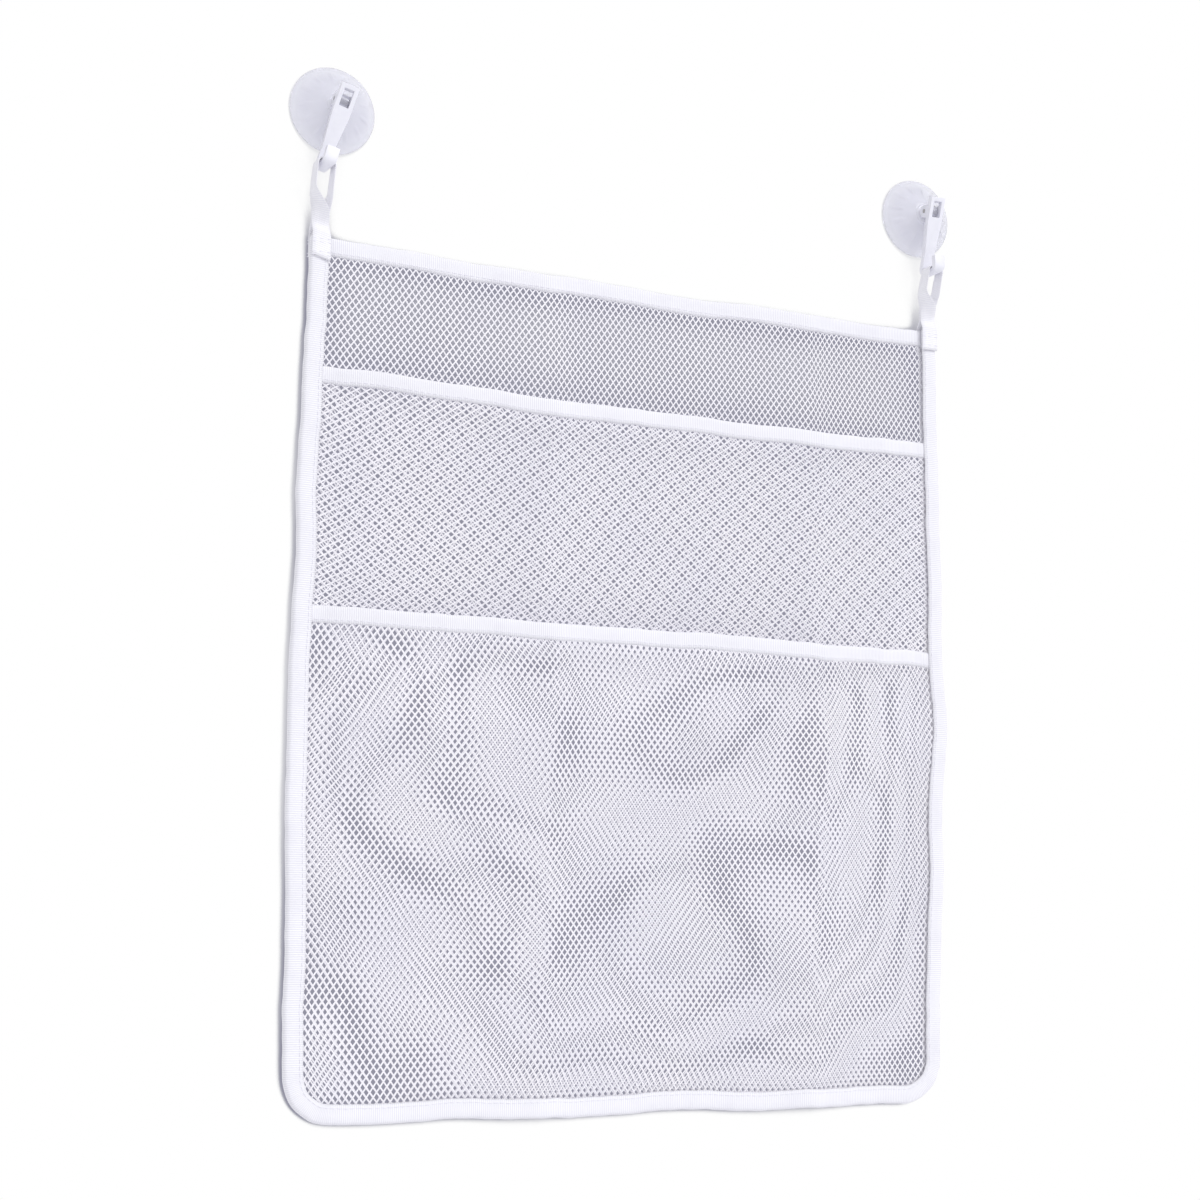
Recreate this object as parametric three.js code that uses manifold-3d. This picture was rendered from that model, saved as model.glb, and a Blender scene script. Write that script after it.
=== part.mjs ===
// Bath toy organizer: a mesh panel with two pockets, hung by two tape loops from two suction-cup hooks.
// Units are millimetres. X runs right, Z up, and Y into the wall, so the front faces -Y.
// The origin lies on the wall, midway between the two cups' centres.

import * as THREE from 'three';
import { mergeVertices } from 'three/addons/utils/BufferGeometryUtils.js';
import loadManifold from 'manifold-3d';

const wasm = await loadManifold();
wasm.setup();

// Driving dimensions: layout
const leftCupTurn = 13;
const rightCupTurn = -2;
const panelDrop = 62;
const panelWidth = 350;
const cupInset = 9.5;
const panelHeight = 403;
const cornerRadius = 22;

// Driving dimensions: cloth
const netThickness = 0.6;
const tapeThickness = 0.7;
const clothGap = 0.3;
const wallGap = 1.3;
const edgeTapeWidth = 9;
const topTapeWidth = 8.5;
const pocketTapeWidth = 8;
const loopTapeWidth = 9;
const loopWidthOnHook = 7.4;
const archSquareness = 2 / 3;
const strandWidth = 4.2;
const backCells = { columns: 10, rows: 11 };
const upperCells = { columns: 6, rows: 4 };
const lowerCells = { columns: 9, rows: 6 };

// Driving dimensions: pockets, measured down from the panel's top edge
const upperMouthDrop = 65;
const lowerMouthDrop = 176.5;
const upperBelly = 11;
const lowerBelly = 14;
const upperMouthSag = 4;
const lowerMouthSag = 1;

// Driving dimensions: suction cup
const cupDiameter = 42;
const cupRimWidth = 1.8;
const cupRimThickness = 0.9;
const cupWall = 1.7;
const cupHeight = 9.5;
const hubStep = 1;
const hubDiameter = 11;
const knuckleRadius = 3.6;
const knuckleWidth = 4.2;
const neckHeight = 3.8;
const cavityAtHub = 0.92;
const cavityAtShoulder = 0.55;
const cavityAtRim = 0.2;
const rimSlope = 1.5;

// Driving dimensions: hook
const pinDiameter = 2.2;
const pinHeight = 14.4;
const pinGap = 0.1;
const knuckleGap = 0.3;
const hookThickness = 2.8;
const hookHeadWidth = 8.6;
const hookTailWidth = 6;
const hookFrontAtPin = 4.2;
const hookSlant = 19.5;
const hookHeadLength = 8;
const windowLength = 8;
const windowRise = -0.2;
const taperEnd = 22;
const hookReach = 33.1;
const hookBend = 2.6;
const hookSeatLength = 6.4;
const lipHeight = 5;
const earRadius = 3.3;
const hookHeadRound = 2;

// How finely round shapes are cut
const cupSegments = 36;
const knuckleSegments = 28;
const pinSegments = 20;
const arcSteps = 6;
const cornerSteps = 8;
const legSteps = 8;
const archSteps = 10;
const outlineSegments = 8;
const archProbe = 0.05;

// Derived layers, as places along Y
const backLeafOuter = -wallGap;
const channelBack = backLeafOuter - tapeThickness;
const backNetMid = channelBack - clothGap - netThickness / 2;
const pocketTapeHalf = netThickness / 2 + clothGap + tapeThickness;
const mouthMid = backNetMid - netThickness / 2 - clothGap - pocketTapeHalf;
const bottomSeamMid = backNetMid - netThickness - clothGap;
const channelFront = mouthMid - netThickness / 2 - clothGap;
const frontLeafOuter = channelFront - tapeThickness;
const topChannelFront = backNetMid - netThickness / 2 - clothGap;
const panelMid = (frontLeafOuter + backLeafOuter) / 2;

// Derived spans across the panel
const halfPanel = panelWidth / 2;
const cupSpacing = panelWidth - 2 * cupInset;
const halfInside = halfPanel - edgeTapeWidth;
const halfNet = halfPanel - tapeThickness - clothGap;
const netInset = tapeThickness + clothGap;
const netMargin = halfNet - halfInside + clothGap;
const halfBelly = halfInside - edgeTapeWidth / 2;

// Looks, one material made from them for each mesh
const netCloth = { color: 0xeeeef4, roughness: 0.85, metalness: 0 };
const tapeCloth = { color: 0xf1f0f7, roughness: 0.8, metalness: 0 };
const softVinyl = { color: 0xdfe0ea, roughness: 0.25, metalness: 0 };
const hookPlastic = { color: 0xf4f4f8, roughness: 0.35, metalness: 0 };
const pinSteel = { color: 0xb5b2b0, roughness: 0.3, metalness: 1 };

// Mesh helpers
function closedGeometry(geometry) {
  const bare = new THREE.BufferGeometry();
  bare.setAttribute('position', geometry.getAttribute('position').clone());
  bare.setIndex(geometry.index ? geometry.index.clone() : null);
  const merged = mergeVertices(bare, 1e-4);
  const index = Array.from(merged.index.array);
  const kept = [];
  for (let k = 0; k < index.length; k += 3) {
    const [a, b, c] = index.slice(k, k + 3);
    if (a !== b && b !== c && c !== a) kept.push(a, b, c);
  }
  merged.setIndex(kept);
  if (signedVolume(merged) < 0) {
    for (let k = 0; k < kept.length; k += 3) [kept[k + 1], kept[k + 2]] = [kept[k + 2], kept[k + 1]];
    merged.setIndex(kept);
  }
  return merged;
}

function signedVolume(geometry) {
  const position = geometry.getAttribute('position');
  const corner = [new THREE.Vector3(), new THREE.Vector3(), new THREE.Vector3()];
  let volume = 0;
  for (let k = 0; k < geometry.index.count; k += 3) {
    corner.forEach((point, n) => point.fromBufferAttribute(position, geometry.index.getX(k + n)));
    volume += corner[0].dot(corner[1].clone().cross(corner[2])) / 6;
  }
  return volume;
}

function solidOf(geometry) {
  const closed = closedGeometry(geometry);
  return new wasm.Manifold(new wasm.Mesh({
    numProp: 3,
    vertProperties: new Float32Array(closed.getAttribute('position').array),
    triVerts: new Uint32Array(closed.index.array),
  }));
}

function geometryOf(solid) {
  const mesh = solid.getMesh();
  const geometry = new THREE.BufferGeometry();
  geometry.setAttribute('position', new THREE.BufferAttribute(new Float32Array(mesh.vertProperties), 3));
  geometry.setIndex(Array.from(mesh.triVerts));
  return closedGeometry(geometry);
}

function named(name, geometry, look) {
  const mesh = new THREE.Mesh(geometry, new THREE.MeshStandardMaterial(look));
  mesh.name = name;
  return mesh;
}

// A closed section carried along a list of frames, each an origin with two directions, capped at both ends.
// The two faces of a twisted strip are split along the same diagonal, which keeps them apart.
function sweep(section, frames) {
  const points = [];
  frames.forEach(({ origin, u, v, scale = 1 }) => {
    section.forEach(([p, q]) => {
      points.push(origin.clone().addScaledVector(u, p * scale).addScaledVector(v, q));
    });
  });
  const count = section.length;
  const index = [];
  for (let f = 0; f + 1 < frames.length; f += 1) {
    for (let k = 0; k < count; k += 1) {
      const next = (k + 1) % count;
      const a = f * count + k;
      const b = f * count + next;
      if (section[k][0] <= section[next][0]) index.push(a, b, b + count, a, b + count, a + count);
      else index.push(a, b, a + count, b, b + count, a + count);
    }
  }
  const outline = section.map(([p, q]) => new THREE.Vector2(p, q));
  const clockwise = THREE.ShapeUtils.isClockWise(outline);
  const last = (frames.length - 1) * count;
  THREE.ShapeUtils.triangulateShape(outline, []).forEach(([a, b, c]) => {
    const cap = clockwise ? [a, b, c] : [c, b, a];
    index.push(cap[0], cap[1], cap[2], last + cap[2], last + cap[1], last + cap[0]);
  });
  const geometry = new THREE.BufferGeometry().setFromPoints(points);
  geometry.setIndex(index);
  return closedGeometry(geometry);
}

// A flat outline pushed along X or along -Y
function pushed(shape, depth) {
  return new THREE.ExtrudeGeometry(shape, { depth, bevelEnabled: false, curveSegments: outlineSegments });
}

function pushAlongX(shape, width) {
  const geometry = pushed(shape, width);
  geometry.translate(0, 0, -width / 2);
  geometry.applyMatrix4(new THREE.Matrix4().makeBasis(axisY, axisZ, axisX));
  return geometry;
}

function pushAlongY(shape, nearY, farY) {
  const geometry = pushed(shape, farY - nearY);
  geometry.applyMatrix4(new THREE.Matrix4().makeBasis(axisX, axisZ, axisY.clone().negate()));
  geometry.translate(0, farY, 0);
  return geometry;
}

const axisX = new THREE.Vector3(1, 0, 0);
const axisY = new THREE.Vector3(0, 1, 0);
const axisZ = new THREE.Vector3(0, 0, 1);
const smooth = (t) => t * t * (3 - 2 * t);

// Net sheets: a diamond lattice inside a plain border, given a thickness and a depth at every point
function netSheet({ top, bottom, topMargin, bottomMargin, columns, rows, bottomCorner, depthAt, dropAt }) {
  const lattice = {
    left: -halfNet + netMargin,
    right: halfNet - netMargin,
    low: bottom + bottomMargin,
    high: top - topMargin,
  };
  const cellWidth = (lattice.right - lattice.left) / columns;
  const cellHeight = (lattice.high - lattice.low) / rows;
  const slope = Math.atan2(cellHeight, cellWidth);
  const halfAcross = strandWidth / 2 / Math.sin(slope);
  const halfUp = strandWidth / 2 / Math.cos(slope);
  const lastI = 2 * columns;
  const lastJ = 2 * rows;
  const flat = [];
  const triangles = [];
  const place = (x, z) => flat.push([x, z]) - 1;
  const fan = (corners) => {
    for (let k = 1; k + 1 < corners.length; k += 1) {
      triangles.push([corners[0], corners[k], corners[k + 1]]);
    }
  };

  const knots = new Map();
  for (let i = 0; i <= lastI; i += 1) {
    for (let j = i % 2; j <= lastJ; j += 2) {
      const x = lattice.left + i * cellWidth / 2;
      const z = lattice.low + j * cellHeight / 2;
      const atSide = i === 0 || i === lastI;
      const atEnd = j === 0 || j === lastJ;
      const knot = {};
      if (i > 0) knot.left = place(x - halfAcross, z);
      if (j > 0) knot.below = place(x, z - halfUp);
      if (i < lastI) knot.right = place(x + halfAcross, z);
      if (j < lastJ) knot.above = place(x, z + halfUp);
      if (atSide && atEnd) knot.corner = place(x, z);
      knots.set(`${i},${j}`, knot);
      const ring = [knot.left, knot.below, knot.right, knot.above];
      if (knot.corner !== undefined) {
        const open = ring.map((point, k) => point === undefined && ring[(k + 1) % 4] === undefined);
        ring[open.indexOf(true)] = knot.corner;
      }
      fan(ring.filter((point) => point !== undefined));
    }
  }
  const knotAt = (i, j) => knots.get(`${i},${j}`);
  knots.forEach((from, key) => {
    const [i, j] = key.split(',').map(Number);
    if (j === lastJ) return;
    if (i < lastI) {
      const to = knotAt(i + 1, j + 1);
      fan([from.right, to.below, to.left, from.above]);
    }
    if (i > 0) {
      const to = knotAt(i - 1, j + 1);
      fan([from.left, from.above, to.right, to.below]);
    }
  });

  // Border strips, each from the first lattice point past one corner to the last before the next
  const edgeChain = (count, knotOf, first, second) => {
    const chain = [];
    for (let k = 0; k <= count; k += 2) chain.push(knotOf(k)[first], knotOf(k)[second]);
    return chain.filter((point) => point !== undefined);
  };
  const sides = [
    {
      chain: edgeChain(lastI, (i) => knotAt(i, 0), 'left', 'right'),
      out: ([x]) => [x, bottom],
    },
    {
      chain: edgeChain(lastJ, (j) => knotAt(lastI, j), 'below', 'above'),
      out: ([, z]) => [halfNet, z],
    },
    {
      chain: edgeChain(lastI, (i) => knotAt(i, lastJ), 'left', 'right').reverse(),
      out: ([x]) => [x, top],
    },
    {
      chain: edgeChain(lastJ, (j) => knotAt(0, j), 'below', 'above').reverse(),
      out: ([, z]) => [-halfNet, z],
    },
  ];
  const cornerKnots = [knotAt(0, 0), knotAt(lastI, 0), knotAt(lastI, lastJ), knotAt(0, lastJ)];
  const keepOff = (value, low, high) => Math.min(Math.max(value, low), high);
  sides.forEach((side, s) => {
    side.outer = side.chain.map((point) => {
      const [x, z] = side.out(flat[point]);
      const straightLow = bottom + bottomCorner;
      const onBottom = s === 0;
      const onFlank = s % 2 === 1;
      return place(
        onBottom ? keepOff(x, -halfNet + bottomCorner, halfNet - bottomCorner) : x,
        onFlank ? Math.max(z, straightLow) : z,
      );
    });
    for (let k = 0; k + 1 < side.chain.length; k += 1) {
      fan([side.outer[k], side.outer[k + 1], side.chain[k + 1], side.chain[k]]);
    }
  });
  cornerKnots.forEach(({ corner }, s) => {
    const before = sides[(s + 3) % 4];
    const after = sides[s];
    const outline = [before.outer.at(-1)];
    const sign = s === 0 || s === 3 ? -1 : 1;
    if (s < 2 && bottomCorner > 0) {
      for (let k = 1; k < arcSteps; k += 1) {
        const turn = (s === 0 ? k : arcSteps - k) / arcSteps * Math.PI / 2;
        outline.push(place(
          sign * (halfNet - bottomCorner + bottomCorner * Math.cos(turn)),
          bottom + bottomCorner - bottomCorner * Math.sin(turn),
        ));
      }
    } else {
      outline.push(place(sign * halfNet, s < 2 ? bottom : top));
    }
    outline.push(after.outer[0]);
    fan([corner, before.chain.at(-1), ...outline, after.chain[0]].filter((p, k, all) => p !== all[k - 1]));
  });

  return {
    geometry: thicken(flat, triangles, depthAt, dropAt),
    stations: sides[2].outer.map((point) => flat[point][0]),
  };
}

function thicken(flat, triangles, depthAt, dropAt) {
  const count = flat.length;
  const points = [];
  [-netThickness / 2, netThickness / 2].forEach((offset) => {
    flat.forEach(([x, z]) => points.push(new THREE.Vector3(x, depthAt(x, z) + offset, z - dropAt(x, z))));
  });
  const index = [];
  const borders = new Map();
  triangles.forEach(([a, b, c]) => {
    index.push(a, b, c, c + count, b + count, a + count);
    [[a, b], [b, c], [c, a]].forEach(([from, to]) => {
      if (borders.has(`${to},${from}`)) borders.delete(`${to},${from}`);
      else borders.set(`${from},${to}`, [from, to]);
    });
  });
  borders.forEach(([from, to]) => index.push(to, from, from + count, to, from + count, to + count));
  const geometry = new THREE.BufferGeometry().setFromPoints(points);
  geometry.setIndex(index);
  return closedGeometry(geometry);
}

// Pockets: how far a pocket's cloth stands off the back net, and how far its mouth sags
function pocketForm({ mouth, bottom, hem, belly, sag }) {
  const down = (z) => Math.min(Math.max((mouth - z) / (mouth - bottom - hem), 0), 1);
  const across = (x) => Math.max(1 - Math.abs(x / halfBelly) ** 3, 0);
  return {
    depthAt: (x, z) => {
      const seam = THREE.MathUtils.lerp(mouthMid, bottomSeamMid, down(z));
      return seam - belly * across(x) * (1 - down(z) ** 3);
    },
    dropAt: (x, z) => sag * across(x) * (1 - down(z)),
  };
}

const mouthTop = (drop) => -drop + pocketTapeWidth / 2 - tapeThickness - clothGap;
const upperPocket = {
  mouth: mouthTop(upperMouthDrop),
  bottom: -lowerMouthDrop + pocketTapeWidth / 2 + clothGap,
  hem: pocketTapeWidth / 2,
  belly: upperBelly,
  sag: upperMouthSag,
};
const lowerPocket = {
  mouth: mouthTop(lowerMouthDrop),
  bottom: -panelHeight + netInset,
  hem: edgeTapeWidth,
  belly: lowerBelly,
  sag: lowerMouthSag,
};

function pocketNet(pocket, cells, bottomCorner) {
  return netSheet({
    top: pocket.mouth,
    bottom: pocket.bottom,
    topMargin: pocketTapeWidth - tapeThickness,
    bottomMargin: pocket.hem,
    ...cells,
    bottomCorner,
    ...pocketForm(pocket),
  });
}

function pocketTape(pocket, stations) {
  const form = pocketForm(pocket);
  const slot = netThickness / 2 + clothGap;
  const rise = clothGap + tapeThickness;
  const fall = rise - pocketTapeWidth;
  const section = [
    [-pocketTapeHalf, fall], [-slot, fall], [-slot, clothGap], [slot, clothGap],
    [slot, fall], [pocketTapeHalf, fall], [pocketTapeHalf, rise], [-pocketTapeHalf, rise],
  ];
  const end = halfInside - clothGap;
  const spots = [-end, ...stations.filter((x) => Math.abs(x) < end).sort((a, b) => a - b), end];
  const frames = spots.map((x) => {
    const height = pocket.mouth - form.dropAt(x, pocket.mouth);
    return { origin: new THREE.Vector3(x, form.depthAt(x, pocket.mouth), height), u: axisY, v: axisZ };
  });
  return sweep(section, frames);
}

// Folded edge tape: a channel, measured inward from the panel's edge
const edgeSection = [
  [0, frontLeafOuter], [edgeTapeWidth, frontLeafOuter],
  [edgeTapeWidth, channelFront], [tapeThickness, channelFront],
  [tapeThickness, channelBack], [edgeTapeWidth, channelBack],
  [edgeTapeWidth, backLeafOuter], [0, backLeafOuter],
];

function sideTape(side) {
  const inward = new THREE.Vector3(-side, 0, 0);
  const end = -panelHeight + cornerRadius + clothGap;
  const frames = [0, end].map((z) => (
    { origin: new THREE.Vector3(side * halfPanel, 0, z), u: inward, v: axisY }
  ));
  return sweep(edgeSection, frames);
}

function cornerTape(side) {
  const frames = [];
  for (let k = 0; k <= cornerSteps; k += 1) {
    const turn = k / cornerSteps * Math.PI / 2;
    const outward = new THREE.Vector3(side * Math.cos(turn), 0, -Math.sin(turn));
    const centre = new THREE.Vector3(side * (halfPanel - cornerRadius), 0, -panelHeight + cornerRadius);
    frames.push({ origin: centre.addScaledVector(outward, cornerRadius), u: outward.negate(), v: axisY });
  }
  return sweep(edgeSection, frames);
}

function bottomTape() {
  const end = halfPanel - cornerRadius - clothGap;
  const frames = [-end, end].map((x) => (
    { origin: new THREE.Vector3(x, 0, -panelHeight), u: axisZ, v: axisY }
  ));
  return sweep(edgeSection, frames);
}

function topTape() {
  const section = [
    [0, topChannelFront - tapeThickness], [topTapeWidth, topChannelFront - tapeThickness],
    [topTapeWidth, topChannelFront], [tapeThickness, topChannelFront], [tapeThickness, channelBack],
    [topTapeWidth, channelBack], [topTapeWidth, backLeafOuter], [0, backLeafOuter],
  ];
  const end = halfInside - clothGap;
  const down = axisZ.clone().negate();
  const frames = [-end, end].map((x) => ({ origin: new THREE.Vector3(x, 0, 0), u: down, v: axisY }));
  return sweep(section, frames);
}

// Suction cup: a turned shell whose rim lies on the wall, with a neck and a round knuckle for the pin
function suctionCup() {
  const rim = cupDiameter / 2;
  const hub = hubDiameter / 2;
  const shoulder = (rim + hub) / 2;
  const cavity = cupHeight - cupWall;
  const profile = [
    [0, -cavity], [hub, -cavity * cavityAtHub], [shoulder, -cavity * cavityAtShoulder],
    [rim - 2 * cupRimWidth, -cavity * cavityAtRim], [rim - cupRimWidth, 0],
    [rim, 0], [rim, -cupRimThickness],
    [rim - cupRimWidth, -cupRimThickness * rimSlope], [shoulder, -cavity * cavityAtShoulder - cupWall],
    [hub + cupWall, -cupHeight], [hub, -cupHeight - hubStep], [0, -cupHeight - hubStep],
  ].map(([r, y]) => new THREE.Vector2(r, y));
  const shell = solidOf(new THREE.LatheGeometry(profile, cupSegments));
  const neckLength = pinHeight - cupHeight + hubStep;
  const neck = new THREE.BoxGeometry(knuckleWidth, neckLength, neckHeight);
  neck.translate(0, -pinHeight + neckLength / 2, 0);
  const knuckle = new THREE.CylinderGeometry(knuckleRadius, knuckleRadius, knuckleWidth, knuckleSegments);
  knuckle.rotateZ(Math.PI / 2);
  knuckle.translate(0, -pinHeight, 0);
  const bore = pinCylinder(pinDiameter / 2 + pinGap, 2 * knuckleWidth);
  return geometryOf(shell.add(solidOf(neck)).add(solidOf(knuckle)).subtract(solidOf(bore)));
}

function pinCylinder(radius, length) {
  const pin = new THREE.CylinderGeometry(radius, radius, length, pinSegments);
  pin.rotateZ(Math.PI / 2);
  pin.translate(0, -pinHeight, 0);
  return pin;
}

// Hook: a slanted strap with a window at its head, a flat seat at its foot and a lip in front of the seat
const slant = THREE.MathUtils.degToRad(hookSlant);
const strapDown = new THREE.Vector2(Math.sin(slant), -Math.cos(slant));
const strapFront = new THREE.Vector2(-Math.cos(slant), -Math.sin(slant));
const strapAtPin = new THREE.Vector2(-pinHeight, 0).addScaledVector(strapFront, hookFrontAtPin);
const seatMid = -hookReach;
const heelCentre = new THREE.Vector2(
  strapAtPin.x + (hookBend - (seatMid + hookBend - strapAtPin.y) * strapFront.y) / strapFront.x,
  seatMid + hookBend,
);
const toeCentre = new THREE.Vector2(heelCentre.x - hookSeatLength, heelCentre.y);
const seatTop = seatMid + hookThickness / 2;
const seatY = (heelCentre.x + toeCentre.x) / 2;

function hookProfile() {
  const line = [];
  const add = (point, direction) => {
    line.push({ point, side: new THREE.Vector2(-direction.y, direction.x) });
  };
  add(strapAtPin.clone().addScaledVector(strapDown, -hookHeadLength), strapDown);
  for (let k = 0; k <= arcSteps; k += 1) {
    const turn = THREE.MathUtils.lerp(slant, -Math.PI / 2, k / arcSteps);
    const out = new THREE.Vector2(Math.cos(turn), Math.sin(turn));
    add(heelCentre.clone().addScaledVector(out, hookBend), new THREE.Vector2(out.y, -out.x));
  }
  for (let k = 0; k <= arcSteps; k += 1) {
    const turn = THREE.MathUtils.lerp(-Math.PI / 2, -Math.PI, k / arcSteps);
    const out = new THREE.Vector2(Math.cos(turn), Math.sin(turn));
    add(toeCentre.clone().addScaledVector(out, hookBend), new THREE.Vector2(out.y, -out.x));
  }
  add(new THREE.Vector2(toeCentre.x - hookBend, toeCentre.y + lipHeight), new THREE.Vector2(0, 1));
  const half = hookThickness / 2;
  const one = line.map(({ point, side }) => point.clone().addScaledVector(side, half));
  const other = line.map(({ point, side }) => point.clone().addScaledVector(side, -half)).reverse();
  return new THREE.Shape([...one, ...other]);
}

function hookOutline() {
  const head = hookHeadWidth / 2;
  const tail = hookTailWidth / 2;
  const top = hookHeadLength + hookThickness;
  const low = seatMid - hookThickness / 2;
  const shape = new THREE.Shape();
  shape.moveTo(tail, low + tail);
  shape.lineTo(tail, -taperEnd);
  shape.lineTo(head, -windowLength);
  shape.lineTo(head, top - hookHeadRound);
  shape.absarc(head - hookHeadRound, top - hookHeadRound, hookHeadRound, 0, Math.PI / 2, false);
  shape.absarc(hookHeadRound - head, top - hookHeadRound, hookHeadRound, Math.PI / 2, Math.PI, false);
  shape.lineTo(-head, -windowLength);
  shape.lineTo(-tail, -taperEnd);
  shape.lineTo(-tail, low + tail);
  shape.absarc(0, low + tail, tail, Math.PI, 2 * Math.PI, false);
  return shape;
}

function hook() {
  const strap = solidOf(pushAlongX(hookProfile(), hookHeadWidth));
  const ears = solidOf(pinCylinder(earRadius, hookHeadWidth));
  const lugs = new THREE.BoxGeometry(hookHeadWidth, hookFrontAtPin, 2 * earRadius);
  lugs.translate(0, -hookFrontAtPin / 2, 0);
  lugs.rotateX(slant);
  lugs.translate(0, -pinHeight, 0);
  const outline = solidOf(pushAlongY(hookOutline(), -2 * hookReach, hookReach));
  const windowWidth = knuckleWidth + 2 * knuckleGap;
  const window = new THREE.BoxGeometry(windowWidth, 3 * pinHeight, windowLength);
  window.translate(0, -pinHeight, windowRise);
  const bore = pinCylinder(pinDiameter / 2 + pinGap, 2 * hookHeadWidth);
  const whole = strap.add(ears).add(solidOf(lugs)).intersect(outline);
  return geometryOf(whole.subtract(solidOf(window)).subtract(solidOf(bore)));
}

// Hanging loop: the tape climbs in front of the panel's corner, turns a quarter turn, crosses the hook's
// seat and comes down behind
function hangingLoop(side, turnDegrees) {
  const turn = THREE.MathUtils.degToRad(turnDegrees);
  const across = axisX.clone().applyAxisAngle(axisY, turn);
  const up = axisZ.clone().applyAxisAngle(axisY, turn);
  const archHalf = hookTailWidth / 2 + 2 * clothGap + tapeThickness;
  const archRise = hookTailWidth / 2;
  const crown = seatTop + tapeThickness + 2 * clothGap;
  const archFoot = new THREE.Vector3(side * cupSpacing / 2, seatY, 0).addScaledVector(up, crown - archRise);
  const base = new THREE.Vector3(side * (halfPanel - loopTapeWidth / 2), panelMid, -panelDrop + clothGap);
  const baseHalf = tapeThickness / 2 + clothGap / 2;
  const frames = [];
  const leg = (rise, facing) => {
    const twist = smooth(rise) * Math.PI / 2;
    const out = axisY.clone().multiplyScalar(-Math.cos(twist)).addScaledVector(across, -Math.sin(twist));
    const wide = across.clone().multiplyScalar(Math.cos(twist)).addScaledVector(axisY, -Math.sin(twist));
    const apart = THREE.MathUtils.lerp(baseHalf, archHalf, smooth(rise));
    frames.push({
      origin: base.clone().lerp(archFoot, rise).addScaledVector(out, facing * apart),
      u: wide,
      v: out.multiplyScalar(facing),
      scale: THREE.MathUtils.lerp(loopTapeWidth, loopWidthOnHook, rise),
    });
  };
  for (let k = 0; k < legSteps; k += 1) leg(k / legSteps, 1);
  const archPoint = (angle) => [
    -archHalf * Math.sign(Math.cos(angle)) * Math.abs(Math.cos(angle)) ** archSquareness,
    archRise * Math.abs(Math.sin(angle)) ** archSquareness,
  ];
  for (let k = 0; k <= archSteps; k += 1) {
    const angle = k / archSteps * Math.PI;
    const [x, z] = archPoint(angle);
    const before = archPoint(Math.max(angle - archProbe, 0));
    const after = archPoint(Math.min(angle + archProbe, Math.PI));
    const tangent = new THREE.Vector2(after[0] - before[0], after[1] - before[1]).normalize();
    frames.push({
      origin: archFoot.clone().addScaledVector(across, x).addScaledVector(up, z),
      u: axisY.clone().negate(),
      v: across.clone().multiplyScalar(-tangent.y).addScaledVector(up, tangent.x),
      scale: loopWidthOnHook,
    });
  }
  for (let k = legSteps - 1; k >= 0; k -= 1) leg(k / legSteps, -1);
  const half = tapeThickness / 2;
  const section = [[-0.5, -half], [0, -half], [0.5, -half], [0.5, half], [0, half], [-0.5, half]];
  return sweep(section, frames);
}

// Assembly
const organizer = new THREE.Group();

function addHanger(name, side, turnDegrees) {
  const hanger = new THREE.Group();
  hanger.position.x = side * cupSpacing / 2;
  hanger.rotation.y = THREE.MathUtils.degToRad(turnDegrees);
  hanger.add(named(`${name}_suction_cup`, suctionCup(), softVinyl));
  hanger.add(named(`${name}_hook`, hook(), hookPlastic));
  const pin = closedGeometry(pinCylinder(pinDiameter / 2, hookHeadWidth));
  hanger.add(named(`${name}_hook_pin`, pin, pinSteel));
  organizer.add(hanger);
  organizer.add(named(`${name}_loop`, hangingLoop(side, turnDegrees), tapeCloth));
}

addHanger('left', -1, leftCupTurn);
addHanger('right', 1, rightCupTurn);

const panel = new THREE.Group();
panel.position.z = -panelDrop;
organizer.add(panel);

const backNet = netSheet({
  top: -netInset,
  bottom: -panelHeight + netInset,
  topMargin: topTapeWidth,
  bottomMargin: edgeTapeWidth,
  ...backCells,
  bottomCorner: cornerRadius - netInset,
  depthAt: () => backNetMid,
  dropAt: () => 0,
});
const upperNet = pocketNet(upperPocket, upperCells, 0);
const lowerNet = pocketNet(lowerPocket, lowerCells, cornerRadius - netInset);
panel.add(named('back_net', backNet.geometry, netCloth));
panel.add(named('upper_pocket_net', upperNet.geometry, netCloth));
panel.add(named('lower_pocket_net', lowerNet.geometry, netCloth));
panel.add(named('top_binding', topTape(), tapeCloth));
panel.add(named('upper_pocket_binding', pocketTape(upperPocket, upperNet.stations), tapeCloth));
panel.add(named('lower_pocket_binding', pocketTape(lowerPocket, lowerNet.stations), tapeCloth));
panel.add(named('left_side_binding', sideTape(-1), tapeCloth));
panel.add(named('right_side_binding', sideTape(1), tapeCloth));
panel.add(named('left_corner_binding', cornerTape(-1), tapeCloth));
panel.add(named('right_corner_binding', cornerTape(1), tapeCloth));
panel.add(named('bottom_binding', bottomTape(), tapeCloth));

export default organizer;
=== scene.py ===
import math
import bpy
import bmesh
from mathutils import Matrix, Vector, noise


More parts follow.
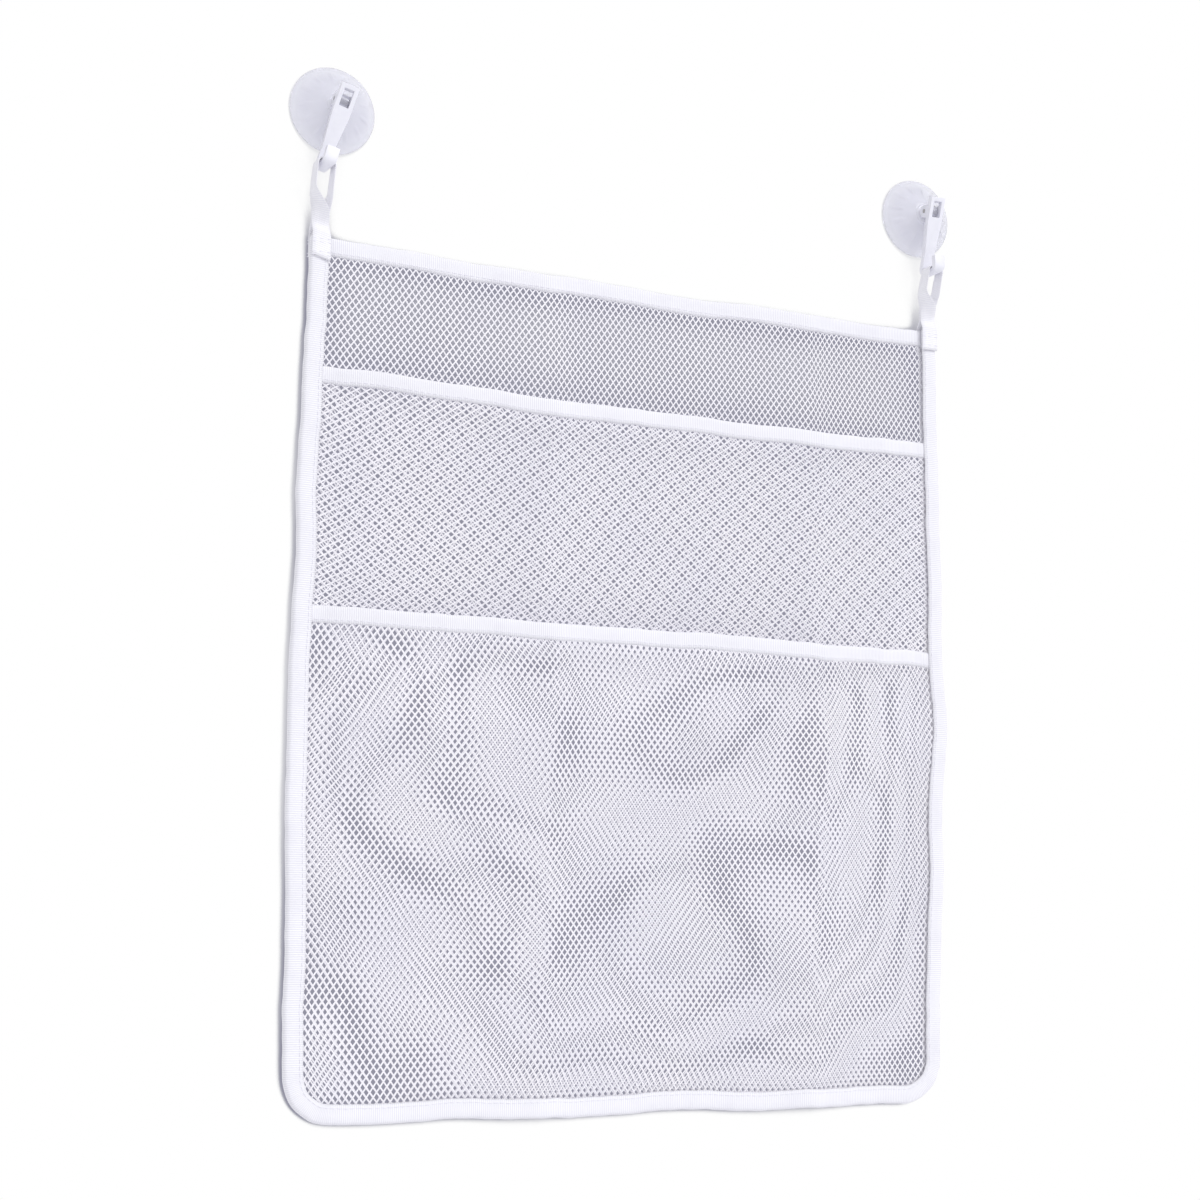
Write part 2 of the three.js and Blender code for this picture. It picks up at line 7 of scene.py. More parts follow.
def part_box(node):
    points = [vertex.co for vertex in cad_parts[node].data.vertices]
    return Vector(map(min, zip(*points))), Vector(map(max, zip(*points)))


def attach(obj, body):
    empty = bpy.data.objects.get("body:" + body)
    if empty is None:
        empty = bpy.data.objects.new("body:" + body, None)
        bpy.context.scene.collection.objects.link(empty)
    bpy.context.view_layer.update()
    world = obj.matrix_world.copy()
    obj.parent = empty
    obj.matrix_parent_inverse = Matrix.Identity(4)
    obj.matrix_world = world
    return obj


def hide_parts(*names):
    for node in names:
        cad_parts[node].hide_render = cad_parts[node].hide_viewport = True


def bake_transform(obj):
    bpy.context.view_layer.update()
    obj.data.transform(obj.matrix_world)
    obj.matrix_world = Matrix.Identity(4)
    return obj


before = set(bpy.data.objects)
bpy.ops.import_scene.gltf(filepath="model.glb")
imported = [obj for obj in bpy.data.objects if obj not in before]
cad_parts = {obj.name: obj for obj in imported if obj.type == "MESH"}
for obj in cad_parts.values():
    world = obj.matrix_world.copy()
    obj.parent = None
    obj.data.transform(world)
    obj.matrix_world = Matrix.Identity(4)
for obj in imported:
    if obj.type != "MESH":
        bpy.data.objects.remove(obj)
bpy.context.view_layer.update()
scene = bpy.context.scene
scene.view_settings.view_transform = "Standard"
mm = 0.001
sides = {"left": -1, "right": 1}
backward = Vector((0, 1, 0))
downward = Vector((0, 0, -1))
print("frame loaded:", len(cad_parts), "nodes")


# Small helpers

def linearColour(hexCode):
    channels = [int(hexCode[k:k + 2], 16) / 255 for k in (1, 3, 5)]
    return tuple(c / 12.92 if c <= 0.04045 else ((c + 0.055) / 1.055) ** 2.4 for c in channels) + (1.0,)


def addNode(tree, kind, settings=None, inputs=None):
    node = tree.nodes.new(kind)
    for name, value in (settings or {}).items():
        setattr(node, name, value)
    for socket, value in (inputs or {}).items():
        if isinstance(value, bpy.types.NodeSocket):
            tree.links.new(value, node.inputs[socket])
        else:
            node.inputs[socket].default_value = value
    return node


def linkObject(name, data):
    thing = bpy.data.objects.new(name, data)
    scene.collection.objects.link(thing)
    return thing


def newPiece(name, vertices, faces, material=None, uvs=None, smooth=True, edges=()):
    mesh = bpy.data.meshes.new(name)
    mesh.from_pydata(vertices, edges, faces)
    if uvs:
        layer = mesh.uv_layers.new(name="UVMap")
        for loop in mesh.loops:
            layer.data[loop.index].uv = uvs[loop.vertex_index]
    mesh.polygons.foreach_set("use_smooth", [smooth] * len(mesh.polygons))
    if material:
        mesh.materials.append(material)
    mesh.update()
    return linkObject(name, mesh)


def reshape(mesh, change):
    shape = bmesh.new()
    shape.from_mesh(mesh)
    change(shape)
    shape.to_mesh(mesh)
    shape.free()


def smoothByAngle(piece, degrees):
    def mark(shape):
        for face in shape.faces:
            face.smooth = True
        for edge in shape.edges:
            if len(edge.link_faces) == 2:
                edge.smooth = edge.calc_face_angle(0) < math.radians(degrees)

    reshape(piece.data, mark)


def bakeModifiers(piece):
    # the evaluated result becomes the piece's own plain mesh
    depsgraph = bpy.context.evaluated_depsgraph_get()
    baked = bpy.data.meshes.new_from_object(piece.evaluated_get(depsgraph))
    piece.modifiers.clear()
    piece.data = baked


def newTree(name, inputs, output):
    tree = bpy.data.node_groups.new(name, "GeometryNodeTree")
    for socket, kind in inputs.items():
        tree.interface.new_socket(socket, in_out="INPUT", socket_type="NodeSocket" + kind)
    tree.interface.new_socket(output, in_out="OUTPUT", socket_type="NodeSocketGeometry")
    return tree, addNode(tree, "NodeGroupInput").outputs


def bakeTree(piece, tree, values):
    modifier = piece.modifiers.new(tree.name, "NODES")
    modifier.node_group = tree
    for item in tree.interface.items_tree:
        if item.in_out == "INPUT" and item.name in values:
            modifier[item.identifier] = values[item.name]
    bakeModifiers(piece)


def clamp(value, low, high):
    return min(max(value, low), high)


def ease(t):
    return t * t * (3 - 2 * t)


# Camera, fitted to the panel's corners, both pocket tapes and both cups in the photograph

cameraFit = {
    "azimuth": -26.7022,                       # degrees, as are the next two
    "elevation": -7.7721,
    "roll": 0.8154,
    "place": (-482.151, -916.808, -360.874),   # mm
    "focalPixels": 2132.36,
    "framePixels": 1200,
    "sensorWidth": 36.0,                       # mm
    "clipStart": 10,                           # mm
}


def makeCamera():
    azimuth, elevation, roll = (math.radians(cameraFit[k]) for k in ("azimuth", "elevation", "roll"))
    sight = Vector((-math.sin(azimuth) * math.cos(elevation),
                    math.cos(azimuth) * math.cos(elevation),
                    -math.sin(elevation)))
    level = sight.cross(Vector((0, 0, 1))).normalized()
    up = level.cross(sight)
    right = level * math.cos(roll) + up * math.sin(roll)
    top = up * math.cos(roll) - level * math.sin(roll)
    data = bpy.data.cameras.new("photoCamera")
    data.sensor_width = cameraFit["sensorWidth"]
    data.lens = cameraFit["focalPixels"] / cameraFit["framePixels"] * cameraFit["sensorWidth"]
    data.clip_start = cameraFit["clipStart"] * mm
    camera = linkObject("photoCamera", data)
    camera.matrix_world = Matrix((right, top, -sight)).transposed().to_4x4()
    camera.location = Vector(cameraFit["place"]) * mm
    scene.camera = camera


makeCamera()
print("camera placed")


# Materials

def newMaterial(name):
    material = bpy.data.materials.new(name)
    material.use_nodes = True
    material.node_tree.nodes.clear()
    return material, material.node_tree


def mottled(tree, place, size, one, other, detail=2.0):
    # two colours that pass into each other over patches of the given size in mm
    patches = addNode(tree, "ShaderNodeTexNoise", inputs={
        "Vector": place, "Scale": 1 / (size * mm), "Detail": detail})
    tone = addNode(tree, "ShaderNodeMix", {"data_type": "RGBA"}, {
        "Factor": patches.outputs["Fac"], "A": linearColour(one), "B": linearColour(other)})
    return tone.outputs["Result"], patches.outputs["Fac"]


def finishMaterial(material, inputs):
    tree = material.node_tree
    surface = addNode(tree, "ShaderNodeBsdfPrincipled", inputs=inputs)
    addNode(tree, "ShaderNodeOutputMaterial", inputs={"Surface": surface.outputs["BSDF"]})
    return material


netLook = {
    "yarn": "#fefcff",
    "coolPatch": "#f5f4fc",
    "patchSize": 45,         # mm across one cooler patch
    "filament": 0.3,         # mm, the twist that shows on a strand
}


def makeNetMaterial():
    # warp-knit polyester net: matt white yarn with a faint cool cast in patches
    material, tree = newMaterial("polyesterNet")
    place = addNode(tree, "ShaderNodeTexCoord").outputs["Object"]
    tone = mottled(tree, place, netLook["patchSize"], netLook["yarn"], netLook["coolPatch"])[0]
    twist = addNode(tree, "ShaderNodeTexNoise", inputs={
        "Vector": place, "Scale": 1 / (netLook["filament"] * mm), "Detail": 1.0})
    relief = addNode(tree, "ShaderNodeBump", inputs={
        "Strength": 0.35, "Distance": 0.1 * mm, "Height": twist.outputs["Fac"]})
    return finishMaterial(material, {
        "Base Color": tone, "Roughness": 0.7, "Sheen Weight": 0.2, "Normal": relief.outputs["Normal"]})


tapeLook = {
    "cloth": "#f6f6fa",
    # painted shade: the colour in the furrows between the ribs
    "furrowShade": "#e7e6ee",
    "ribPitch": 1.0,         # mm from rib to rib, a little coarser than the real tape so that it shows
    "patchSize": 14,         # mm
}
# painted light: the hanging loops get a paler, lit copy of the tape's colours
litLoopLook = dict(tapeLook, cloth="#fafafd", furrowShade="#f1f0f7")   # paler: light comes through a free loop
bandLength = math.pi / 10    # one band of the Wave texture at a scale of 1


def makeTapeMaterial(name, look):
    # grosgrain polyester tape: close cross ribs with painted shade in their furrows, matt with a soft sheen;
    # U runs along it in metres
    material, tree = newMaterial(name)
    place = addNode(tree, "ShaderNodeUVMap", {"uv_map": "UVMap"}).outputs["UV"]
    ribs = addNode(tree, "ShaderNodeTexWave", {"wave_type": "BANDS", "bands_direction": "X"}, {
        "Vector": place, "Scale": bandLength / (look["ribPitch"] * mm),
        "Distortion": 0.6, "Detail": 1.0, "Detail Scale": 2.0})
    patches = addNode(tree, "ShaderNodeTexNoise", inputs={
        "Vector": place, "Scale": 1 / (look["patchSize"] * mm), "Detail": 3.0})
    # painted shade: darker where the ribs dip, mixed with random tone in patches
    shade = addNode(tree, "ShaderNodeMath", {"operation": "MULTIPLY"}, {
        0: ribs.outputs["Fac"], 1: patches.outputs["Fac"]})
    spread = addNode(tree, "ShaderNodeMapRange", inputs={
        "Value": shade.outputs["Value"], "From Min": 0.05, "From Max": 0.45})
    tone = addNode(tree, "ShaderNodeMix", {"data_type": "RGBA"}, {
        "Factor": spread.outputs["Result"],
        "A": linearColour(look["furrowShade"]), "B": linearColour(look["cloth"])})
    relief = addNode(tree, "ShaderNodeBump", inputs={
        "Strength": 0.5, "Distance": 0.12 * mm, "Height": ribs.outputs["Fac"]})
    return finishMaterial(material, {
        "Base Color": tone.outputs["Result"], "Roughness": 0.72, "Sheen Weight": 0.25,
        "Normal": relief.outputs["Normal"]})


threadLook = {"thread": "#f6f5fa", "shadeSide": "#e4e3ee", "ply": 0.4}   # mm, one turn of the plies


def makeThreadMaterial():
    # spun polyester sewing thread: bright, with fine ply lines
    material, tree = newMaterial("polyesterThread")
    place = addNode(tree, "ShaderNodeTexCoord").outputs["Object"]
    tone = mottled(tree, place, threadLook["ply"], threadLook["thread"], threadLook["shadeSide"],
                   detail=1.0)[0]
    return finishMaterial(material, {"Base Color": tone, "Roughness": 0.55, "Sheen Weight": 0.15})


vinylLook = {
    "clear": "#f1f1fa",
    "cloudy": "#e7e7f2",
    "thinRim": "#f5f5fd",
    "cloudSize": 9,          # mm across one cloud
}


def makeVinylMaterial():
    # plasticised PVC, injection moulded: milky, glossy and a little wavy, clearest at its thin rim
    material, tree = newMaterial("softVinyl")
    place = addNode(tree, "ShaderNodeTexCoord").outputs["Object"]
    tone, clouds = mottled(tree, place, vinylLook["cloudSize"], vinylLook["clear"], vinylLook["cloudy"])
    thin = addNode(tree, "ShaderNodeAttribute", {"attribute_name": "thinness"})
    paler = addNode(tree, "ShaderNodeMix", {"data_type": "RGBA"}, {
        "Factor": thin.outputs["Fac"], "A": tone, "B": linearColour(vinylLook["thinRim"])})
    relief = addNode(tree, "ShaderNodeBump", inputs={
        "Strength": 0.12, "Distance": 0.4 * mm, "Height": clouds})
    return finishMaterial(material, {
        "Base Color": paler.outputs["Result"], "Roughness": 0.14, "IOR": 1.52,
        "Transmission Weight": 0.6, "Normal": relief.outputs["Normal"]})


hookLook = {
    "face": "#f4f4fa",
    "worn": "#eaeaf3",
    "mottle": 4,             # mm
    "grain": 0.35,           # mm, the fine grain of the mould
}


def makeHookMaterial():
    # ABS, injection moulded: white satin gloss with a faint mould grain
    material, tree = newMaterial("mouldedAbs")
    place = addNode(tree, "ShaderNodeTexCoord").outputs["Object"]
    tone, wear = mottled(tree, place, hookLook["mottle"], hookLook["face"], hookLook["worn"], detail=3.0)
    rough = addNode(tree, "ShaderNodeMapRange", inputs={"Value": wear, "To Min": 0.26, "To Max": 0.4})
    grain = addNode(tree, "ShaderNodeTexNoise", inputs={
        "Vector": place, "Scale": 1 / (hookLook["grain"] * mm)})
    relief = addNode(tree, "ShaderNodeBump", inputs={
        "Strength": 0.08, "Distance": 0.05 * mm, "Height": grain.outputs["Fac"]})
    return finishMaterial(material, {
        "Base Color": tone, "Roughness": rough.outputs["Result"], "IOR": 1.54,
        "Normal": relief.outputs["Normal"]})


pinLook = {
    "steel": "#c4c2c0",
    "dull": "#a5a3a1",
    "drawLine": 0.25,        # mm between the drawing marks
    "stretch": (0.08, 1.0, 1.0),     # the marks run long along the pin
}


def makePinMaterial():
    # drawn steel wire: bright, with fine marks along its length
    material, tree = newMaterial("drawnSteelWire")
    place = addNode(tree, "ShaderNodeTexCoord").outputs["Object"]
    along = addNode(tree, "ShaderNodeMapping", inputs={"Vector": place, "Scale": pinLook["stretch"]})
    tone, marks = mottled(tree, along.outputs["Vector"], pinLook["drawLine"],
                          pinLook["steel"], pinLook["dull"])
    rough = addNode(tree, "ShaderNodeMapRange", inputs={"Value": marks, "To Min": 0.22, "To Max": 0.42})
    return finishMaterial(material, {
        "Base Color": tone, "Metallic": 1.0, "Roughness": rough.outputs["Result"]})


polyesterNet = makeNetMaterial()
grosgrainTape = makeTapeMaterial("grosgrainTape", tapeLook)
litGrosgrainLoop = makeTapeMaterial("litGrosgrainLoop", litLoopLook)
polyesterThread = makeThreadMaterial()
softVinyl = makeVinylMaterial()
mouldedAbs = makeHookMaterial()
drawnSteel = makePinMaterial()
print("materials made")


# The panel's own form: where its edges are, how its sides bow and where it was once folded flat

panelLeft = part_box("left_side_binding")[0][0]
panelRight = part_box("right_side_binding")[1][0]
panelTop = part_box("left_side_binding")[1][2]
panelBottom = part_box("bottom_binding")[0][2]
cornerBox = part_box("left_corner_binding")
cornerRadius = cornerBox[1][0] - cornerBox[0][0]
halfWidth = (panelRight - panelLeft) / 2
panelHeight = panelTop - panelBottom

panelForm = {
    "sideBow": 3.2,                          # mm that each side stands out at mid-height
    "sideWave": (1.5, 46),                   # mm: how far a side wanders, and over what length
    "sideSeed": 3.7,                         # where in the noise a side's wandering is read
    "rightBulge": (2.8, -281, 24),           # mm: jut of the right side at a fold, its place up and reach
    "footWave": (1.2, 58),                   # mm: the same wandering for the foot
    "footSeed": 5.1,
    "footKeep": 6,                           # power that keeps this wandering near the foot
    "topSag": 1.6,                           # mm that the top edge hangs between its corners
    "topKeep": 3,                            # power that keeps the sag near the top edge
    "topWave": (0.5, 118),                   # mm: height and length of the ripple along the top edge
    "uprightFolds": ((-53, 4.0), (95, 5.0)),     # mm: place across and height of each old fold
    "levelFolds": ((-115, 1.8), (-285, 3.0)),    # mm: place up and height
    "foldStray": (6, 80),                    # mm: how far an upright fold strays, and over what length
    "foldReach": 28,                         # mm over which a fold dies away
    "foldSteep": 10,                         # mm, the same on the right of an upright fold
    "foldRound": 3,                          # mm, how blunt its ridge is
    "edgeFade": 34,                          # mm from the side within which folds flatten out
    "foldDip": 0.34,                         # share of a fold's height that the cloth drops there
    "dipReach": 17,                          # mm over which that drop dies away
    "dipKeep": 4,                            # power that keeps the drop off the foot
}


def fromFold(place, x, z):
    stray, length = panelForm["foldStray"]
    return x - (place + stray * noise.noise(Vector((place, 0, z / mm)) / length)) * mm


def foldLift(x, z):
    reach = panelForm["foldReach"] * mm
    blunt = panelForm["foldRound"] * mm
    lift = 0.0
    for place, height in panelForm["uprightFolds"]:
        beside = fromFold(place, x, z)
        fall = panelForm["foldSteep"] * mm if beside > 0 else reach
        lift += height * mm * math.exp((blunt - math.hypot(beside, blunt)) / fall)
    for place, height in panelForm["levelFolds"]:
        lift += height * mm * math.exp((blunt - math.hypot(z - place * mm, blunt)) / reach)
    return lift * ease(clamp((halfWidth - abs(x)) / (panelForm["edgeFade"] * mm), 0, 1))


def foldDip(x, z):
    dip = 0.0
    for place, height in panelForm["uprightFolds"]:
        dip += height * mm * math.exp(-abs(fromFold(place, x, z)) / (panelForm["dipReach"] * mm))
    return dip * panelForm["foldDip"]


def onPanel(x, y, z):
    # where a point of the flat panel lies once the cloth has bowed, sagged and kept its folds
    down = clamp((panelTop - z) / panelHeight, 0, 1)
    spread = 1 + panelForm["sideBow"] * mm * math.sin(math.pi * down) / halfWidth
    between = 1 - (x / halfWidth) ** 2
    waveHeight, waveLength = panelForm["topWave"]
    ripple = waveHeight * between * math.sin(2 * math.pi * x / (waveLength * mm))
    sag = panelForm["topSag"] * between + ripple
    sideHeight, sideLength = panelForm["sideWave"]
    sideSpot = Vector((math.copysign(panelForm["sideSeed"], x), 0, z / (sideLength * mm)))
    wander = sideHeight * noise.noise(sideSpot)
    if x > 0:
        jut, place, reach = panelForm["rightBulge"]
        wander += jut * math.exp(-((z / mm - place) / reach) ** 2)
    footHeight, footLength = panelForm["footWave"]
    lift = footHeight * noise.noise(Vector((x / (footLength * mm), panelForm["footSeed"], 0)))
    outward = wander * mm * (x / halfWidth) ** 2 * math.sin(math.pi * down) ** 0.5
    atFoot = lift * mm * down ** panelForm["footKeep"]
    atTop = sag * mm * (1 - down) ** panelForm["topKeep"]
    upward = atFoot - atTop - foldDip(x, z) * (1 - down ** panelForm["dipKeep"])
    return Vector((x * spread + outward, y - foldLift(x, z), z + upward))


# Cloth layers, as places along Y in mm

layers = {
    "backNet": -2.4,
    "pocketMouth": -3.5,
    "pocketSeam": -3.1,
    "edgeFront": -5.3,
    "edgeBack": -0.9,
    "topFront": -3.4,
    "topBack": -1.5,
    "tapeLeaf": 0.5,         # mm, how thick one leaf of a tape is
}


# Pockets: each hangs from its tape's ends, bellies out and is sewn in along its foot

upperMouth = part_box("upper_pocket_binding")[1][2]
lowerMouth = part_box("lower_pocket_binding")[1][2]
pocketForm = {
    "inset": 13.5,           # mm at each side that can't belly out
    "fullness": 3,           # power that keeps the belly full out to its sides and down to its foot
}
pocketReach = halfWidth - pocketForm["inset"] * mm
pockets = {
    "upper": {"mouth": upperMouth, "foot": lowerMouth - 1 * mm, "belly": 11, "sag": 4},     # mm out, down
    "lower": {"mouth": lowerMouth, "foot": panelBottom + 7 * mm, "belly": 14, "sag": 1},
}


def inPocket(pocket, x, z):
    down = clamp((pocket["mouth"] - z) / (pocket["mouth"] - pocket["foot"]), 0, 1)
    across = max(1 - abs(x / pocketReach) ** pocketForm["fullness"], 0)
    seam = layers["pocketMouth"] + (layers["pocketSeam"] - layers["pocketMouth"]) * down
    depth = seam - pocket["belly"] * across * (1 - down ** pocketForm["fullness"])
    return onPanel(x, depth * mm, z - pocket["sag"] * mm * across * (1 - down))


# Nets: one knitted cell is repeated over the cloth and laid on a guide surface

netting = {
    "ridge": 0.32,           # mm that a strand's middle stands above its edges
    "openShare": 0.54,       # share of the cloth that is holes
    "weld": 0.02,            # mm within which neighbouring cells join
    "guideStep": 5,          # mm between the guide surface's points
    "underTape": 4.5,        # mm of net that the edge tape hides
    "driftLength": 84,       # mm from one pulled patch to the next
    "fineDrift": (0.3, 36),  # share of the pull that comes in short puckers, and their length in mm
    "fineSeed": (3, 7, 5),   # where in the noise the puckers are read
    "upSeed": (9, 4, 2),     # how far from the pull across the pull upwards is read
    "driftFade": 26,         # mm from the seams within which the cloth lies true
}

nets = {
    "back_netting": {
        "node": "back_net",
        "pocket": None,
        "cell": (3.22, 4.40),        # mm across and up
        "top": panelTop - 4 * mm,
        "bottom": panelBottom,
        "roundFoot": True,
        "drift": 1.0,                # mm that the cloth is pulled askew here and there
        "driftSeed": 12,             # mm along Y where the noise for it is read
        "lean": 0.0,                 # degrees that the whole cloth is askew
    },
    "upper_pocket_netting": {
        "node": "upper_pocket_net",
        "pocket": "upper",
        "cell": (4.50, 3.15),        # the same net turned a quarter turn
        "top": upperMouth - 3 * mm,
        "bottom": pockets["upper"]["foot"] - 4 * mm,
        "roundFoot": False,
        "drift": 2.0,
        "driftSeed": 20,
        "lean": 0.6,
    },
    "lower_pocket_netting": {
        "node": "lower_pocket_net",
        "pocket": "lower",
        "cell": (3.22, 4.40),
        "top": lowerMouth - 3 * mm,
        "bottom": panelBottom,
        "roundFoot": True,
        "drift": 4.5,
        "driftSeed": 20,
        "lean": 0.3,
    },
}


def clothPoint(net, x, z):
    fromSide = clamp((halfWidth - abs(x)) / (netting["driftFade"] * mm), 0, 1)
    fromEnd = clamp(min(net["top"] - z, z - net["bottom"]) / (netting["driftFade"] * mm), 0, 1)
    pull = ease(min(fromSide, fromEnd)) * net["drift"] * mm
    fineShare, fineLength = netting["fineDrift"]
    spot = Vector((x, net["driftSeed"] * mm, z))
    broad = spot / (netting["driftLength"] * mm)
    fine = spot / (fineLength * mm) + Vector(netting["fineSeed"])
    further = Vector(netting["upSeed"])
    pullAcross = noise.noise(broad) + fineShare * noise.noise(fine)
    pullUp = noise.noise(broad + further) + fineShare * noise.noise(fine + further)
    askew = math.tan(math.radians(net["lean"])) * fromSide
    x, z = (x + pull * pullAcross + askew * (z - net["bottom"]) * fromEnd,
            z + pull * pullUp + askew * x * fromEnd)
    if net["pocket"]:
        return inPocket(pockets[net["pocket"]], x, z)
    return onPanel(x, layers["backNet"] * mm, z)


def makeCell(width, height):
    # a crossing of two strands, cut at the cell's borders so that copies meet edge to edge
    reach = (1 - math.sqrt(netting["openShare"])) / 2
    a, b = width * mm, height * mm
    acrossKnot, upKnot, ridge = reach * a, reach * b, -netting["ridge"] * mm
    vertices, faces = [], []
    for sx, sz in ((1, 1), (-1, 1), (-1, -1), (1, -1)):
        first = len(vertices)
        vertices += [
            (0, ridge, 0), (sx * acrossKnot, 0, 0), (sx * a / 2, 0, sz * (b / 2 - upKnot)),
            (sx * a / 2, ridge, sz * b / 2), (sx * (a / 2 - acrossKnot), 0, sz * b / 2),
            (0, 0, sz * upKnot),
        ]
        for face in ((0, 1, 2, 3), (0, 3, 4, 5)):
            face = face if sx * sz > 0 else face[::-1]
            faces.append(tuple(first + k for k in face))
    return newPiece("netCell", vertices, faces)


def makeGuide(name):
    net = nets[name]
    step = netting["guideStep"] * mm
    columns = math.ceil(2 * halfWidth / step)
    rows = math.ceil((net["top"] - net["bottom"]) / step)
    vertices, uvs, faces = [], [], []
    for j in range(rows + 1):
        for i in range(columns + 1):
            u, v = i / columns, j / rows
            x = panelLeft + u * 2 * halfWidth
            z = net["bottom"] + v * (net["top"] - net["bottom"])
            vertices.append(clothPoint(net, x, z))
            uvs.append((u, v))
    for j in range(rows):
        for i in range(columns):
            k = j * (columns + 1) + i
            faces.append((k, k + 1, k + columns + 2, k + columns + 1))
    return newPiece(name + "_guide", vertices, faces, uvs=uvs)


def insideOutline(x, z, roundFoot):
    edge = netting["underTape"] * mm
    if abs(x) > halfWidth - edge:
        return False
    if not roundFoot:
        return True
    if z < panelBottom + edge:
        return False
    cornerX = abs(x) - (halfWidth - cornerRadius)
    cornerZ = panelBottom + cornerRadius - z
    return not (cornerX > 0 and cornerZ > 0 and math.hypot(cornerX, cornerZ) > cornerRadius - edge)


def makeNettingTree():
    tree, given = newTree("netting", {
        "Cells": "Geometry", "Cell": "Object", "Guide": "Object",
        "Low Corner": "Vector", "Span": "Vector", "Yarn": "Material"}, "Net")
    cell = addNode(tree, "GeometryNodeObjectInfo", inputs={"Object": given["Cell"], "As Instance": True})
    guide = addNode(tree, "GeometryNodeObjectInfo", inputs={"Object": given["Guide"]})
    copies = addNode(tree, "GeometryNodeInstanceOnPoints", inputs={
        "Points": given["Cells"], "Instance": cell.outputs["Geometry"]})
    cloth = addNode(tree, "GeometryNodeRealizeInstances", inputs={
        "Geometry": copies.outputs["Instances"]})
    joined = addNode(tree, "GeometryNodeMergeByDistance", inputs={
        "Geometry": cloth.outputs["Geometry"], "Distance": netting["weld"] * mm})
    # each point's share of the flat cloth says where on the guide it lands
    place = addNode(tree, "GeometryNodeInputPosition")
    offset = addNode(tree, "ShaderNodeVectorMath", {"operation": "SUBTRACT"}, {
        0: place.outputs["Position"], 1: given["Low Corner"]})
    share = addNode(tree, "ShaderNodeVectorMath", {"operation": "DIVIDE"}, {
        0: offset.outputs["Vector"], 1: given["Span"]})
    shareAxes = addNode(tree, "ShaderNodeSeparateXYZ", inputs={"Vector": share.outputs["Vector"]})
    flat = addNode(tree, "ShaderNodeCombineXYZ", inputs={
        "X": shareAxes.outputs["X"], "Y": shareAxes.outputs["Z"]})
    guideMap = addNode(tree, "GeometryNodeInputNamedAttribute", {"data_type": "FLOAT_VECTOR"}, {
        "Name": "UVMap"})
    guidePlace = addNode(tree, "GeometryNodeInputPosition")
    onGuide = addNode(tree, "GeometryNodeSampleUVSurface", {"data_type": "FLOAT_VECTOR"}, {
        "Mesh": guide.outputs["Geometry"], "Value": guidePlace.outputs["Position"],
        "Source UV Map": guideMap.outputs["Attribute"], "Sample UV": flat.outputs["Vector"]})
    placeAxes = addNode(tree, "ShaderNodeSeparateXYZ", inputs={"Vector": place.outputs["Position"]})
    relief = addNode(tree, "ShaderNodeCombineXYZ", inputs={"Y": placeAxes.outputs["Y"]})
    landed = addNode(tree, "ShaderNodeVectorMath", {"operation": "ADD"}, {
        0: onGuide.outputs["Value"], 1: relief.outputs["Vector"]})
    laid = addNode(tree, "GeometryNodeSetPosition", inputs={
        "Geometry": joined.outputs["Geometry"], "Position": landed.outputs["Vector"]})
    smooth = addNode(tree, "GeometryNodeSetShadeSmooth", inputs={"Geometry": laid.outputs["Geometry"]})
    dyed = addNode(tree, "GeometryNodeSetMaterial", inputs={
        "Geometry": smooth.outputs["Geometry"], "Material": given["Yarn"]})
    addNode(tree, "NodeGroupOutput", inputs={"Net": dyed.outputs["Geometry"]})
    return tree


def makeNet(name, tree):
    net = nets[name]
    width, height = (size * mm for size in net["cell"])
    columns = int(2 * halfWidth / width)
    rows = int((net["top"] - net["bottom"]) / height)
    points = []
    for j in range(rows):
        for i in range(columns):
            x = (i + 0.5 - columns / 2) * width
            z = net["top"] - (j + 0.5) * height
            if insideOutline(x, z, net["roundFoot"]):
                points.append((x, 0, z))
    piece = newPiece(name, points, [])
    cell = makeCell(*net["cell"])
    guide = makeGuide(name)
    bakeTree(piece, tree, {
        "Cell": cell, "Guide": guide, "Yarn": polyesterNet,
        "Low Corner": (panelLeft, 0, net["bottom"]),
        "Span": (2 * halfWidth, 1, net["top"] - net["bottom"])})
    for helper in (cell, guide):
        bpy.data.objects.remove(helper)
    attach(piece, "panel")
    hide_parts(net["node"])
    print(name, "cells:", len(points), "faces:", len(piece.data.polygons))


nettingTree = makeNettingTree()
for netName in nets:
    makeNet(netName, nettingTree)


# Tapes: a section carried along a row of stations, each a place, a direction across and a direction out

def sweepTape(name, stations, section, material):
    vertices, uvs, faces = [], [], []
    count = len(section)
    around = [0.0]
    for (a0, b0), (a1, b1) in zip(section, section[1:]):
        around.append(around[-1] + math.hypot(a1 - a0, b1 - b0))
    along = 0.0
    for k, (place, across, out) in enumerate(stations):
        if k:
            along += (place - stations[k - 1][0]).length
        for (a, b), v in zip(section, around):
            vertices.append(place + across * a + out * b)
            uvs.append((along, v))
    for f in range(len(stations) - 1):
        for k in range(count):
            one, two = f * count + k, f * count + (k + 1) % count
            faces.append((one, two, two + count, one + count))
    last = (len(stations) - 1) * count
    faces.append(tuple(range(count))[::-1])
    faces.append(tuple(last + k for k in range(count)))
    piece = newPiece(name, vertices, faces, material, uvs)

    def closeEnds(shape):
        bmesh.ops.triangulate(shape, faces=[f for f in shape.faces if len(f.verts) > 4])
        bmesh.ops.recalc_face_normals(shape, faces=shape.faces)

    reshape(piece.data, closeEnds)
    return piece


tapeFold = {
    "roundness": 1.7,        # mm, how far the fold's bulge runs in from the edge
    "pinch": 0.3,            # mm that each leaf is drawn in at its sewn edge
    "leafShape": ((1, 1), (0.8, 0.8), (0.5, 0.1)),   # shares of the width, and of the pinch there
    "foldSteps": 6,
    "ripple": 0.42,          # mm that sewing puckers the edge
    "rippleLength": 8,       # mm
    "crumple": 0.8,          # mm that handling bends it
    "crumpleLength": 27,     # mm
    "depthShare": 0.25,      # share of all this that goes into the depth
    "seedStep": 7.3,         # how far apart in the noise two puckers are read
}
